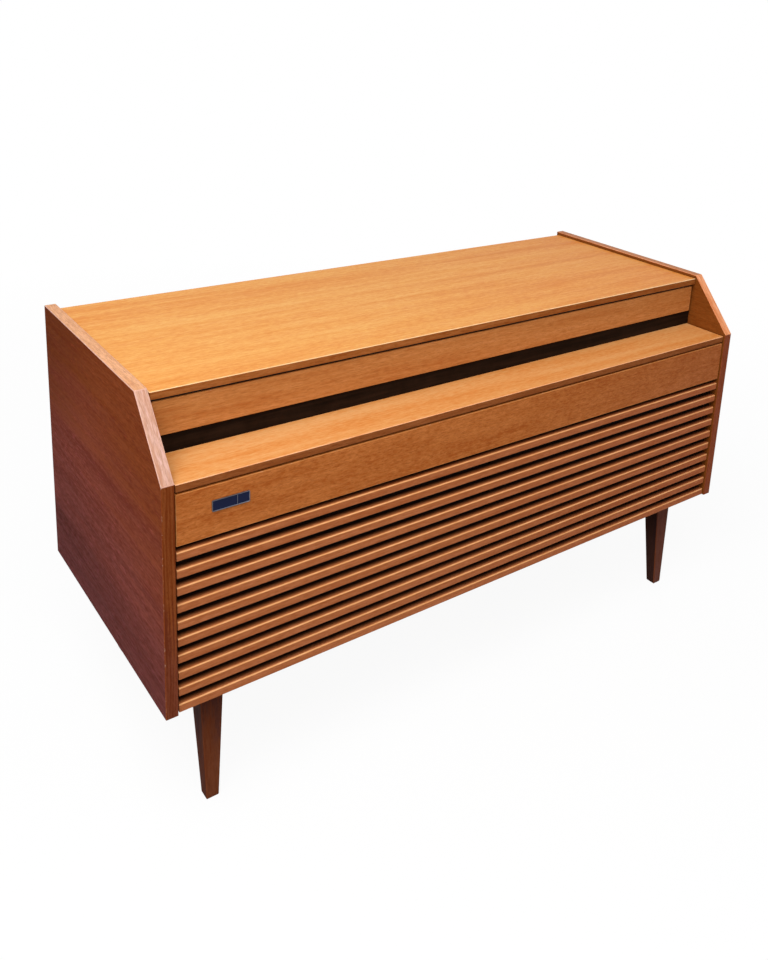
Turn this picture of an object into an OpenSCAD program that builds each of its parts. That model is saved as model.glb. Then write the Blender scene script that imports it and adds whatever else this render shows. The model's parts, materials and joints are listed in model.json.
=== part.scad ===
// Low record-player cabinet: lift-up lid, louvred speaker front and four splayed legs.
// Right is +X, the front is -Y, up is +Z, and the origin is on the floor below the middle.

/* [Cabinet] */
// Width over the two side panels
body_width = 1070; // [1000:5:1300]
// Depth of the side panels, front to back
body_depth = 444; // [430:2:520]
// Height of the side panels
panel_height = 411; // [400:1:470]
// Thickness of the side panels
side_t = 16.5; // [12:0.5:20]
// How far back the sloped front corner reaches
slope_run = 79; // [70:1:90]
// Height lost over the sloped front corner
slope_drop = 91; // [84:1:100]
// Thickness of the plain boards inside
board_t = 12; // [9:0.5:15]
// Height of the bottom board above the lower edge of the side panels
bottom_lift = 4; // [2:0.5:10]

/* [Legs] */
// Height of the body above the floor
leg_height = 186; // [120:1:260]
// Width of the square leg at its top
leg_top_w = 35; // [26:1:40]
// Width of the square leg at the floor
leg_foot_w = 18; // [14:1:26]
// Sideways splay of each leg from top to floor
leg_splay = 2; // [0:1:20]
// Rake of each leg towards the front or the back from top to floor
leg_rake = 14; // [0:1:20]
// Clear distance from a side panel to the top of a front leg
leg_side_inset = 45; // [40:1:90]
// Clear distance from a side panel to the top of a rear leg
rear_leg_inset = 55; // [40:1:90]
// Clear distance from the front or back edge to the top of a leg
leg_end_inset = 41; // [24:1:60]
// Radius of the round tenon on top of a leg
tenon_r = 10; // [6:0.5:12]
// Length of the round tenon
tenon_len = 9; // [4:0.5:9]
// Radial clearance round the tenon
tenon_gap = 0.05; // [0.02:0.01:0.1]

/* [Louvred front] */
// Setback of the front pieces behind the edges of the side panels
front_setback = 3; // [1:0.5:6]
// Gap between the front pieces and each side panel
end_gap = 2; // [1:0.5:4]
// Thickness of the ledge board
ledge_t = 10.5; // [8:0.5:14]
// Drop of the ledge below the foot of the slope
ledge_drop = 3; // [1:0.5:6]
// Height of the front fascia
fascia_h = 71.5; // [60:0.5:90]
// Height and depth of the shadow grooves under the ledge and the lid
groove_h = 1.2; // [0.8:0.1:2]
// Number of slats
slat_count = 10; // [6:1:10]
// Height of a slat
slat_h = 12; // [9:0.5:14]
// Depth of a slat and of the fascia
slat_depth = 13; // [10:0.5:16]
// Radius of a slat's rounded top front edge
slat_round = 2.5; // [1:0.5:4]
// Height of the lowest slat above the lower edge of the side panels
slat_lift = 1.5; // [0:0.5:4]
// Gap between the top slat and the fascia
slat_top_gap = 7.75; // [5:0.25:12]
// Thickness of the frame that carries the slats
frame_t = 8; // [6:0.5:12]
// Width of the frame's posts
post_w = 22; // [16:1:30]
// Height of the frame's lower rail
frame_rail_h = 12; // [10:0.5:13]
// Thickness of the speaker cloth
cloth_t = 1; // [0.6:0.1:2]
// Width of the bare plate on the fascia
plate_w = 50; // [30:1:80]
// Height of the bare plate
plate_h = 15; // [10:0.5:20]
// Thickness of the bare plate
plate_t = 1.6; // [1:0.1:2.5]
// Distance from the side panel to the bare plate
plate_inset = 47.5; // [30:0.5:80]
// Distance from the ledge down to the bare plate
plate_drop = 23; // [15:0.5:35]

/* [Speakers] */
// Radius of the loudspeaker frame
speaker_r = 82; // [70:1:90]
// Radius of the opening in the baffle
speaker_hole_r = 70; // [60:1:75]
// Depth of the loudspeaker
speaker_depth = 62; // [50:1:80]
// Radius of the loudspeaker magnet
magnet_r = 36; // [25:1:45]
// Distance from a side panel to the loudspeaker's axis
speaker_inset = 158; // [110:1:200]

/* [Lid] */
// Thickness of the lid board
lid_t = 11; // [9:0.5:15]
// Drop of the lid below the top edges of the side panels
lid_drop = 5.5; // [3:0.5:8]
// Gap between the lid and each side panel
lid_gap = 2; // [1:0.5:4]
// How far the lid's edge stands in front of the slope's top corner
lid_nose = 1; // [0:0.5:4]
// Height of the lid's front strip
strip_h = 51; // [44:0.5:56]
// Thickness of the lid's front strip
strip_t = 14; // [10:0.5:18]
// Setback of the strip behind the lid's edge
strip_setback = 3; // [1:0.5:6]
// Setback of the strip at each end of the lid
strip_end = 3.5; // [2:0.5:6]
// Height and depth of the groove above the strip
strip_groove = 3; // [2:0.5:4]
// Overhang of the strip in front of the recess rail, for the fingers
grip_lip = 4; // [2:0.5:8]
// Gap between the closed strip and its rail
lid_seat_gap = 0.3; // [0.2:0.1:1]
// Opening angle of the lid
lid_open = 70; // [40:1:70]

/* [Strip hinge] */
// Thickness of a hinge leaf
leaf_t = 1.1; // [0.8:0.1:1.6]
// Play between the closed leaves
leaf_play = 0.3; // [0.2:0.05:0.5]
// Width of a hinge leaf
leaf_w = 20; // [14:1:21]
// Outer radius of the hinge knuckles
knuckle_r = 3; // [2.5:0.1:4]
// Radius of the hinge pin
hinge_pin_r = 1.5; // [1:0.1:1.8]
// Number of knuckles along the hinge
knuckle_count = 19; // [5:2:31]
// Gap between neighbouring knuckles
knuckle_gap = 0.5; // [0.3:0.1:1]
// Distance from the side panels to the ends of the hinge
hinge_end = 40; // [20:1:100]
// Radial running clearance of pins and shafts
run_gap = 0.05; // [0.02:0.01:0.1]
// Clearance between pieces that pass each other
pass_gap = 0.3; // [0.3:0.05:0.5]

/* [Lid stay] */
// Middle radius of the quadrant stay about the hinge
stay_r = 86; // [76:1:92]
// Width of the quadrant
stay_w = 12; // [10:0.5:14]
// Thickness of the quadrant
stay_t = 2; // [1.5:0.1:3]
// Width of the quadrant's slot
stay_slot = 4; // [3.6:0.1:5]
// Distance from the side panel to the quadrant
stay_stand = 12.5; // [10:0.5:18]
// Angle of the guide below the level of the hinge
stay_dip = 5.5; // [5:0.5:7]
// Radius of the guide's boss
guide_r = 4.5; // [3:0.1:4.5]
// Radius of the guide's rivet
rivet_r = 1.6; // [1.2:0.1:1.7]

/* [Rear] */
// Depth of the rear rail
rear_rail_d = 22; // [22:1:30]
// Height of the rear rail's upper part
rear_rail_h = 16; // [12:1:24]
// Height of the rear rail's lower lip
rear_lip_h = 16; // [10:1:24]
// Thickness of the back panel
back_t = 4; // [3:0.5:6]
// Number of ventilation slots in each row of the back panel
vent_count = 9; // [3:1:9]
// Width of a ventilation slot
vent_w = 6; // [4:0.5:8]
// Height of a ventilation slot
vent_h = 46; // [30:1:60]
// Spacing of the ventilation slots
vent_pitch = 18; // [14:1:20]
// Width of the socket plate
socket_w = 132; // [120:1:160]
// Height of the socket plate
socket_h = 36; // [30:1:50]
// Radius of the aerial socket
aerial_r = 4.75; // [4:0.05:5]
// Radius of the loudspeaker socket
outlet_r = 3.2; // [2:0.1:4]
// Radius of the mains lead's entry
inlet_r = 4; // [3:0.1:5]
// Radius of the bosses round the sockets
boss_r = 8; // [6.5:0.1:9]

/* [Record deck] */
// Drop of the deck board below the ledge board
deck_step = 11.5; // [8:0.5:16]
// Width of the deck unit's plate
unit_w = 340; // [320:1:350]
// Distance of the deck unit's plate from the recess rail and from the rear rail
unit_margin = 14; // [12:0.5:20]
// Thickness of the deck unit's plate
unit_t = 2.5; // [1.5:0.1:4]
// Corner radius of the deck unit's plate
unit_round = 12; // [4:1:20]
// Distance from the left side panel to the deck unit's plate
unit_inset = 48; // [30:1:60]
// Radius of the platter
platter_r = 127; // [110:1:130]
// Distance from the plate's left edge to the platter's axis
platter_x = 140; // [132:1:145]
// Height of the platter's rim
platter_h = 12; // [9:0.5:16]
// Thickness of the platter's web
platter_web = 4; // [2:0.5:6]
// Gap below the platter
platter_lift = 4; // [3:0.5:8]
// Thickness of the mat
mat_t = 3; // [2:0.5:4]
// Radius of the record spindle
spindle_r = 3.55; // [3:0.05:4]
// Radius of the bearing journal inside the platter
journal_r = 5; // [4.5:0.1:7]
// Height of the spindle above the mat
spindle_rise = 15; // [8:0.5:30]
// Radius of the motor under the plate
motor_r = 40; // [25:1:44]
// Depth of the motor
motor_h = 55; // [40:1:70]
// Gap round the motor in the deck board
motor_gap = 5; // [3:0.5:8]

/* [Pick-up arm] */
// How far the stylus reaches past the spindle
arm_overhang = 19.5; // [14:0.5:22]
// Distance from the plate's right edge to the arm's pivot
arm_edge = 35; // [32:1:36]
// Distance from the plate's back edge to the arm's pivot
arm_back = 50; // [46:1:52]
// Radius of the arm's tube
tube_r = 4; // [3:0.5:5]
// Height of the arm's axis above the mat
arm_rise = 12; // [11:0.5:16]
// Radius of the arm's pedestal
pedestal_r = 20; // [16:1:24]
// Radius of the turret's stem
stem_r = 4; // [3:0.1:5]
// Width of the head
head_w = 18; // [14:0.5:20]
// Length of the head
head_len = 42; // [30:1:50]
// Height of the head
head_h = 8; // [6:0.5:9]
// Gap between the stylus and the mat
stylus_gap = 0.4; // [0.3:0.1:1]
// Radius of the balance weight
weight_r = 11; // [8:0.5:14]
// Length of the balance weight
weight_len = 22; // [14:1:26]

/* [Levers] */
// Length of the speed lever
lever_len = 28; // [20:1:30]
// Thickness of the levers' grips
lever_t = 7; // [5:0.5:9]
// Travel of the start slide
slide_travel = 18; // [10:1:24]
// Width of the start slide's grip
slide_w = 14; // [10:1:18]
// Distance of the levers from the plate's front edge
lever_edge = 26; // [14:1:28]

/* [Radio panel] */
// Width of the control panel
radio_w = 520; // [500:1:520]
// Depth of the control panel
radio_d = 182; // [176:1:190]
// Height of the control panel
radio_h = 20; // [16:1:24]
// Wall of the control panel
radio_wall = 2.5; // [2:0.1:4]
// Distance from the right side panel to the control panel
radio_inset = 38; // [30:1:60]
// Distance from the recess rail to the control panel
radio_front = 14; // [6:1:20]
// Width of the tuning scale
scale_w = 256; // [250:1:262]
// Depth of the tuning scale
scale_d = 66; // [50:1:74]
// Thickness of the tuning scale
scale_t = 3; // [2:0.5:4]
// Distance from the panel's left and back edges to the scale
scale_inset = 20; // [14:1:24]
// Travel of the pointer along the scale
pointer_travel = 220; // [180:1:226]
// Width of the pointer's slot
pointer_slot = 3; // [2.6:0.1:4]
// Radius of the small knobs
knob_r = 16; // [12:0.5:18]
// Radius of the tuning knob
tuning_r = 26; // [20:0.5:28]
// Height of the knobs
knob_h = 17; // [12:0.5:22]
// Radius of the knob shafts
shaft_r = 3; // [2:0.1:4]
// Number of push buttons
button_count = 4; // [2:1:4]
// Width of a push button
button_w = 24; // [16:0.5:26]
// Depth of a push button
button_d = 15; // [10:0.5:18]
// Height of a button above the panel
button_rise = 9; // [6:0.5:12]
// Travel of a push button
button_travel = 4; // [2:0.5:5]
// Spacing of the push buttons
button_pitch = 31; // [30:0.5:34]

/* [Hidden] */
$fn = 64;

teak = [0.72, 0.42, 0.17];
teak_dark = [0.42, 0.20, 0.12];
leg_brown = [0.30, 0.15, 0.09];
near_black = [0.06, 0.05, 0.05];
plywood = [0.70, 0.58, 0.42];
ivory = [0.90, 0.86, 0.74];
metal = [0.72, 0.72, 0.70];
gold = [0.72, 0.58, 0.30];

over = 1;
knuckle_side = 0.4;

// levels, from the floor up
base_z = leg_height;
top_z = base_z + panel_height;
bend_z = top_z - slope_drop;
ledge_z = bend_z - ledge_drop;
ledge_low = ledge_z - ledge_t;
fascia_low = ledge_low - fascia_h;
lid_top = top_z - lid_drop;
lid_low = lid_top - lid_t;
strip_low = lid_low - strip_h;
rail_top = strip_low - lid_seat_gap;
deck_z = ledge_low - deck_step;
bottom_low = base_z + bottom_lift;
bottom_z = bottom_low + board_t;

// places, from the front back
front_y = -body_depth / 2;
back_y = body_depth / 2;
face_y = front_y + front_setback;
post_y = face_y + slat_depth;
cloth_y = post_y + frame_t;
baffle_y = cloth_y + cloth_t;
baffle_back = baffle_y + board_t;
lid_front = front_y + slope_run - lid_nose;
strip_y = lid_front + strip_setback;
rail_y = strip_y + grip_lip;
rail_back = rail_y + board_t;
axis_y = back_y - knuckle_r - knuckle_side;
leaf_edge = axis_y - knuckle_r - pass_gap;
rear_y = leaf_edge;
rear_front = rear_y - rear_rail_d;
back_front = rear_y - back_t;
axis_z = lid_low - leaf_t - leaf_play / 2;
rear_top = lid_low - 2 * leaf_t - leaf_play;
rear_mid = rear_top - rear_rail_h;

// places across the width
in_x = body_width / 2 - side_t;
front_x = in_x - end_gap;
lid_x = in_x - lid_gap;
hinge_x = in_x - hinge_end;
speaker_x = in_x - speaker_inset;
speaker_z = (bottom_z + deck_z - board_t) / 2;

// legs
front_leg_x = in_x - leg_side_inset - leg_top_w / 2;
rear_leg_x = in_x - rear_leg_inset - leg_top_w / 2;
leg_front_y = front_y + leg_end_inset + leg_top_w / 2;
leg_rear_y = back_y - leg_end_inset - leg_top_w / 2;

// louvres
slat_low = base_z + slat_lift;
slat_pitch = (fascia_low - slat_top_gap - slat_h - slat_low) / (slat_count - 1);

// loudspeakers
cone_neck_share = 0.6;
cone_depth_share = 0.55;

// strip hinge
knuckle_pitch = 2 * hinge_x / knuckle_count;

// quadrant stay
stay_x = in_x - stay_stand;
stay_in = stay_r - stay_w / 2;
stay_out = stay_r + stay_w / 2;
stay_ease = 1.7;
stay_end = stay_dip + lid_open + 2 * stay_ease;
stay_foot = 30;
stay_foot_w = 12;
guide_y = axis_y - stay_r * cos(stay_dip);
guide_z = axis_z - stay_r * sin(stay_dip);
bracket_t = 2;
bracket_w = 24;
bracket_drop = 16;
bracket_rise = 5;
rivet_head_r = 4;
rivet_head_t = 2;

// deck unit
well_mid = (rail_back + rear_front) / 2;
unit_x = -in_x + unit_inset;
unit_y = rail_back + unit_margin;
unit_d = rear_front - rail_back - 2 * unit_margin;
unit_z = deck_z + unit_t;
spin_x = unit_x + platter_x;
spin_y = well_mid;
platter_low = unit_z + platter_lift;
platter_top = platter_low + platter_h;
mat_top = platter_top + mat_t;
hub_r = 14;
hub_drop = 1.6;
rim_t = 9;
mat_margin = 5;
spindle_flange_r = 12;
spindle_flange_t = 2;
spindle_tip = 2;
motor_aside = 72;
motor_ahead = 62;
motor_x = spin_x - motor_aside;
motor_y = spin_y - motor_ahead;

// pick-up arm
arm_x = unit_x + unit_w - arm_edge;
arm_y = unit_y + unit_d - arm_back;
arm_z = mat_top + arm_rise;
arm_len = norm([arm_x - spin_x, arm_y - spin_y]) + arm_overhang;
pedestal_h = 12;
pedestal_top = unit_z + pedestal_h;
turret_low = pedestal_top + pass_gap;
turret_t = 5;
turret_r = 15;
cheek_in = 9;
cheek_t = 3;
cheek_d = 14;
cheek_rise = 6;
cheek_pin_r = 1.5;
yoke_w = 17;
yoke_d = 16;
yoke_h = 12;
stub_len = 22;
head_drop = 2;
stylus_r = 1;
head_ahead = 8;
rest_r = 4;
rest_ahead = 60;
rest_y = arm_y - arm_len + rest_ahead;
rest_hook_w = 2;
rest_hook_gap = 0.7;
rest_hook_d = 6;
rest_hook_rise = 6;

// levers
lever_spread = 112;
speed_x = spin_x + lever_spread;
lever_y = unit_y + lever_edge;
lever_hub_r = 8;
lever_w = 6;
lever_stem_r = 3;
slide_x = spin_x - lever_spread;
slide_d = 9;
slide_stem_w = 6;
slide_stem_d = 2.6;
slide_h = 9;
stem_drop = 8;

// radio panel
radio_x = in_x - radio_inset - radio_w;
radio_y = rail_back + radio_front;
radio_top = deck_z + radio_h;
radio_under = radio_top - radio_wall;
scale_x = radio_x + scale_inset;
scale_y = radio_y + radio_d - scale_inset - scale_d;
pointer_ahead = 10;
pointer_y = scale_y - pointer_ahead;
pointer_x = scale_x + (scale_w - pointer_travel) / 2;
pointer_w = 8;
pointer_d = 12;
needle_w = 2;
needle_t = 1.4;
needle_end = 6;
tongue_drop = 8;
knob_inset = 180;
knob_back_inset = 45;
knob_front_inset = 50;
knob_step = 72;
tuning_step = 108;
knob_x = radio_x + radio_w - knob_inset;
knob_back_y = radio_y + radio_d - knob_back_inset;
knob_front_y = radio_y + knob_front_inset;
tuning_x = knob_x + tuning_step;
knob_places = [[tuning_x, knob_front_y], [knob_x, knob_front_y], [knob_x, knob_back_y],
               [knob_x + knob_step, knob_back_y]];
knob_skirt = 3;
knob_top_r = 0.82;
shaft_hole_gap = 1;
button_end = 50;
button_inset = 26;
button_x = radio_x + button_end;
button_y = radio_y + button_inset;
button_gap = 0.4;
button_tail = 2.5;
button_stem = radio_wall + button_travel + button_tail;

// radio chassis
chassis_w = 400;
chassis_inset = 30;
chassis_wall = 1.2;
chassis_x = radio_x + radio_w - chassis_inset - chassis_w;
chassis_d = 150;
chassis_h = 58;
chassis_front = 12;
chassis_y = radio_y + chassis_front;
transformer_w = 70;
transformer_h = 82;

// socket plate
plate_back_t = 2.5;
socket_x = 250;
socket_rise = 52;
socket_z = bottom_z + socket_rise;
socket_depth = 9;
socket_pitch = 40;

// ---- helpers ----

// box given by its low corner and its high corner
module block(low, high) {
  translate(low) cube(high - low);
}

// outline in the YZ plane drawn out along X
module bar(x0, x1) {
  translate([x0, 0, 0]) rotate([90, 0, 90]) linear_extrude(x1 - x0) children();
}

// upright round rod
module rod(x, y, z0, z1, r) {
  translate([x, y, z0]) cylinder(h = z1 - z0, r = r);
}

// round rod along X
module rod_x(x0, x1, y, z, r) {
  translate([x0, y, z]) rotate([0, 90, 0]) cylinder(h = x1 - x0, r = r);
}

// round rod along Y
module rod_y(x, y0, y1, z, r) {
  translate([x, y1, z]) rotate([90, 0, 0]) cylinder(h = y1 - y0, r = r);
}

// flat plate with rounded corners
module round_plate(x, y, z, w, d, t, r) {
  block([x + r, y, z], [x + w - r, y + d, z + t]);
  block([x, y + r, z], [x + w, y + d - r, z + t]);
  for (cx = [x + r, x + w - r], cy = [y + r, y + d - r])
    rod(cx, cy, z, z + t, r);
}

// ---- cabinet ----

module side_panel(x0) {
  color(teak_dark)
    bar(x0, x0 + side_t)
      polygon([[front_y, base_z], [back_y, base_z], [back_y, top_z],
               [front_y + slope_run, top_z], [front_y, bend_z]]);
}

module bottom_board() {
  color(plywood)
    difference() {
      block([-in_x, baffle_y, bottom_low], [in_x, back_front, bottom_z]);
      for (sx = [-1, 1], at = [[front_leg_x, leg_front_y], [rear_leg_x, leg_rear_y]])
        rod(sx * at[0], at[1], bottom_low - over, bottom_low + tenon_len,
            tenon_r + tenon_gap);
    }
}

module deck_board() {
  color(plywood)
    difference() {
      block([-in_x, baffle_back, deck_z - board_t], [in_x, back_front, deck_z]);
      rod(motor_x, motor_y, deck_z - board_t - over, deck_z + over, motor_r + motor_gap);
      rod(speed_x, lever_y, deck_z - board_t - over, deck_z + over, lever_stem_r + shaft_hole_gap);
      block([slide_x - slide_w, lever_y - slide_d / 2, deck_z - board_t - over],
            [slide_x + slide_w + slide_travel, lever_y + slide_d / 2, deck_z + over]);
      for (p = knob_places)
        rod(p[0], p[1], deck_z - board_t - over, deck_z + over, shaft_r + shaft_hole_gap);
    }
}

module ledge_board() {
  color(teak)
    block([-front_x, face_y, ledge_low], [front_x, rail_y, ledge_z]);
}

module front_fascia() {
  color(teak)
    bar(-front_x, front_x)
      polygon([[face_y, fascia_low], [post_y, fascia_low], [post_y, ledge_low],
               [face_y + 2 * groove_h, ledge_low], [face_y + 2 * groove_h, ledge_low - groove_h],
               [face_y, ledge_low - groove_h]]);
}

module nameplate() {
  x0 = -in_x + plate_inset;
  z1 = ledge_low - plate_drop;
  color("midnightblue")
    block([x0, face_y - plate_t, z1 - plate_h], [x0 + plate_w, face_y, z1]);
}

module recess_rail() {
  color(near_black)
    block([-in_x, rail_y, deck_z], [in_x, rail_back, rail_top]);
}

module rear_rail() {
  color(teak_dark)
    bar(-in_x, in_x)
      polygon([[rear_front, rear_mid - rear_lip_h], [back_front, rear_mid - rear_lip_h],
               [back_front, rear_mid], [rear_y, rear_mid], [rear_y, rear_top],
               [rear_front, rear_top]]);
}

module back_panel() {
  vent_row = (vent_count - 1) * vent_pitch;
  color("saddlebrown")
    difference() {
      block([-in_x, back_front, bottom_low], [in_x, rear_y, rear_mid]);
      for (sx = [-1, 0, 1], i = [0:vent_count - 1])
        translate([sx * speaker_x - vent_row / 2 + i * vent_pitch, 0, 0])
          block([-vent_w / 2, back_front - over, speaker_z + vent_h / 2],
                [vent_w / 2, rear_y + over, speaker_z + 3 * vent_h / 2]);
      for (i = [-1:1])
        rod_y(socket_x + i * socket_pitch, back_front - over, rear_y + over, socket_z,
              boss_r + pass_gap);
    }
}

module socket_plate() {
  radii = [inlet_r, outlet_r, aerial_r];
  color(near_black)
    difference() {
      union() {
        block([socket_x - socket_w / 2, rear_y, socket_z - socket_h / 2],
              [socket_x + socket_w / 2, rear_y + plate_back_t, socket_z + socket_h / 2]);
        for (i = [-1:1])
          rod_y(socket_x + i * socket_pitch, rear_y + plate_back_t - socket_depth,
                rear_y + plate_back_t, socket_z, boss_r);
      }
      for (i = [-1:1])
        rod_y(socket_x + i * socket_pitch, rear_y + plate_back_t - socket_depth - over,
              rear_y + plate_back_t + over, socket_z, radii[i + 1]);
    }
}

// ---- louvred front ----

module slat(i) {
  z = slat_low + (i - 1) * slat_pitch;
  color(teak)
    bar(-front_x, front_x)
      translate([face_y, z]) {
        square([slat_depth, slat_h - slat_round]);
        translate([slat_round, 0]) square([slat_depth - slat_round, slat_h]);
        translate([slat_round, slat_h - slat_round]) circle(slat_round);
      }
}

module grille_frame() {
  color(near_black)
    difference() {
      block([-in_x, post_y, slat_low], [in_x, cloth_y, ledge_low]);
      for (sx = [-1, 1])
        translate([sx * (in_x / 2 - post_w / 4), 0, 0])
          block([-in_x / 2 + 3 * post_w / 4, post_y - over, slat_low + frame_rail_h],
                [in_x / 2 - 3 * post_w / 4, cloth_y + over, fascia_low - slat_top_gap]);
    }
}

module speaker_cloth() {
  color(near_black)
    block([-in_x, cloth_y, slat_low], [in_x, baffle_y, ledge_low]);
}

// half of the baffle, from x0 to x1, with its opening at x
module baffle(x0, x1, x) {
  color(plywood)
    difference() {
      block([x0, baffle_y, bottom_z], [x1, baffle_back, ledge_low]);
      rod_y(x, baffle_y - over, baffle_back + over, speaker_z, speaker_hole_r);
    }
}

module speaker(x) {
  rim_t = 3;
  cone_t = 2.5;
  neck_r = magnet_r * cone_neck_share;
  cone_d = speaker_depth * cone_depth_share;
  color("dimgray")
    translate([x, baffle_back, speaker_z]) rotate([-90, 0, 0])
      rotate_extrude()
        polygon([[speaker_hole_r, 0], [speaker_r, 0], [speaker_r, rim_t],
                 [speaker_hole_r + cone_t, rim_t], [neck_r + cone_t, cone_d],
                 [magnet_r, cone_d], [magnet_r, speaker_depth], [0, speaker_depth],
                 [0, cone_d], [neck_r, cone_d - cone_t]]);
}

// ---- legs ----

module leg(x, y) {
  t = leg_top_w / 2;
  f = leg_foot_w / 2;
  xf = x + sign(x) * leg_splay;
  yf = y + sign(y) * leg_rake;
  color(leg_brown) {
    polyhedron(
      points = [[xf - f, yf - f, 0], [xf + f, yf - f, 0],
                [xf + f, yf + f, 0], [xf - f, yf + f, 0],
                [x - t, y - t, bottom_low], [x + t, y - t, bottom_low],
                [x + t, y + t, bottom_low], [x - t, y + t, bottom_low]],
      faces = [[0, 1, 2, 3], [7, 6, 5, 4], [4, 5, 1, 0], [5, 6, 2, 1], [6, 7, 3, 2],
               [7, 4, 0, 3]]);
    rod(x, y, bottom_low - over, bottom_low + tenon_len - pass_gap, tenon_r);
  }
}

// ---- record deck ----

module deck_plate() {
  color(metal)
    difference() {
      round_plate(unit_x, unit_y, deck_z, unit_w, unit_d, unit_t, unit_round);
      rod(speed_x, lever_y, deck_z - over, unit_z + over, lever_stem_r + run_gap);
      block([slide_x - slide_stem_w / 2 - pass_gap, lever_y - slide_stem_d / 2 - pass_gap,
             deck_z - over],
            [slide_x + slide_stem_w / 2 + slide_travel + pass_gap,
             lever_y + slide_stem_d / 2 + pass_gap, unit_z + over]);
    }
}

module spindle() {
  color(metal) {
    rod(spin_x, spin_y, unit_z, unit_z + spindle_flange_t, spindle_flange_r);
    rod(spin_x, spin_y, unit_z, mat_top, journal_r);
    rod(spin_x, spin_y, mat_top - over, mat_top + spindle_rise - spindle_tip, spindle_r);
    translate([spin_x, spin_y, mat_top + spindle_rise - spindle_tip])
      cylinder(h = spindle_tip, r1 = spindle_r, r2 = spindle_r / 2);
  }
}

module deck_motor() {
  color("dimgray")
    rod(motor_x, motor_y, deck_z - motor_h, deck_z, motor_r);
}

module platter() {
  bore = journal_r + run_gap;
  color(metal)
    translate([spin_x, spin_y, 0])
      rotate_extrude()
        polygon([[bore, platter_low - hub_drop], [hub_r, platter_low - hub_drop],
                 [hub_r, platter_top - platter_web], [platter_r - rim_t, platter_top - platter_web],
                 [platter_r - rim_t, platter_low], [platter_r, platter_low],
                 [platter_r, platter_top], [bore, platter_top]]);
}

module platter_mat() {
  color(near_black)
    difference() {
      rod(spin_x, spin_y, platter_top, mat_top, platter_r - mat_margin);
      rod(spin_x, spin_y, platter_top - over, mat_top + over, journal_r + pass_gap);
    }
}

// ---- pick-up arm ----

module arm_pedestal() {
  color(near_black)
    difference() {
      rod(arm_x, arm_y, unit_z, pedestal_top, pedestal_r);
      rod(arm_x, arm_y, unit_z + turret_t / 2, pedestal_top + over, stem_r + run_gap);
    }
}

module arm_turret() {
  color(metal) {
    rod(arm_x, arm_y, unit_z + turret_t / 2 + pass_gap, turret_low + over, stem_r);
    rod(arm_x, arm_y, turret_low, turret_low + turret_t, turret_r);
    for (sx = [-1, 1])
      block([arm_x + min(sx * cheek_in, sx * (cheek_in + cheek_t)), arm_y - cheek_d / 2, turret_low],
            [arm_x + max(sx * cheek_in, sx * (cheek_in + cheek_t)), arm_y + cheek_d / 2,
             arm_z + cheek_rise]);
    rod_x(arm_x - cheek_in - over, arm_x + cheek_in + over, arm_y, arm_z, cheek_pin_r);
  }
}

module tonearm() {
  tip_y = arm_y - arm_len;
  head_low = arm_z - head_h / 2 - head_drop;
  color(ivory) {
    difference() {
      union() {
        block([arm_x - yoke_w / 2, arm_y - yoke_d / 2, arm_z - yoke_h / 2],
              [arm_x + yoke_w / 2, arm_y + yoke_d / 2, arm_z + yoke_h / 2]);
        rod_y(arm_x, tip_y + head_len / 2, arm_y, arm_z, tube_r);
        rod_y(arm_x, arm_y, arm_y + stub_len, arm_z, tube_r);
      }
      rod_x(arm_x - yoke_w, arm_x + yoke_w, arm_y, arm_z, cheek_pin_r + run_gap);
    }
    rod_y(arm_x, arm_y + stub_len, arm_y + stub_len + weight_len, arm_z, weight_r);
    block([arm_x - head_w / 2, tip_y - head_ahead, head_low],
          [arm_x + head_w / 2, tip_y - head_ahead + head_len, head_low + head_h]);
    rod(arm_x, tip_y, mat_top + stylus_gap, head_low + over, stylus_r);
  }
}

module arm_rest() {
  hook_x = arm_x + tube_r + rest_hook_gap;
  color(metal) {
    rod(arm_x, rest_y, unit_z, arm_z - tube_r - pass_gap, rest_r);
    block([arm_x, rest_y - rest_hook_d / 2, unit_z],
          [hook_x + rest_hook_w, rest_y + rest_hook_d / 2, arm_z - tube_r - rest_r]);
    block([hook_x, rest_y - rest_hook_d / 2, unit_z],
          [hook_x + rest_hook_w, rest_y + rest_hook_d / 2, arm_z + rest_hook_rise]);
  }
}

// ---- levers ----

module speed_lever() {
  z = unit_z + pass_gap;
  color(ivory) {
    rod(speed_x, lever_y, deck_z - stem_drop, z + over, lever_stem_r);
    rod(speed_x, lever_y, z, z + lever_t, lever_hub_r);
    block([speed_x - lever_w / 2, lever_y - lever_len + lever_w, z],
          [speed_x + lever_w / 2, lever_y, z + lever_t]);
    rod(speed_x, lever_y - lever_len + lever_w, z, z + lever_t, lever_w / 2);
  }
}

module start_slide() {
  z = unit_z + pass_gap;
  color(ivory) {
    block([slide_x - slide_w / 2, lever_y - slide_d / 2, z],
          [slide_x + slide_w / 2, lever_y + slide_d / 2, z + slide_h]);
    block([slide_x - slide_stem_w / 2, lever_y - slide_stem_d / 2, deck_z - stem_drop],
          [slide_x + slide_stem_w / 2, lever_y + slide_stem_d / 2, z + over]);
  }
}

// ---- radio ----

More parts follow.
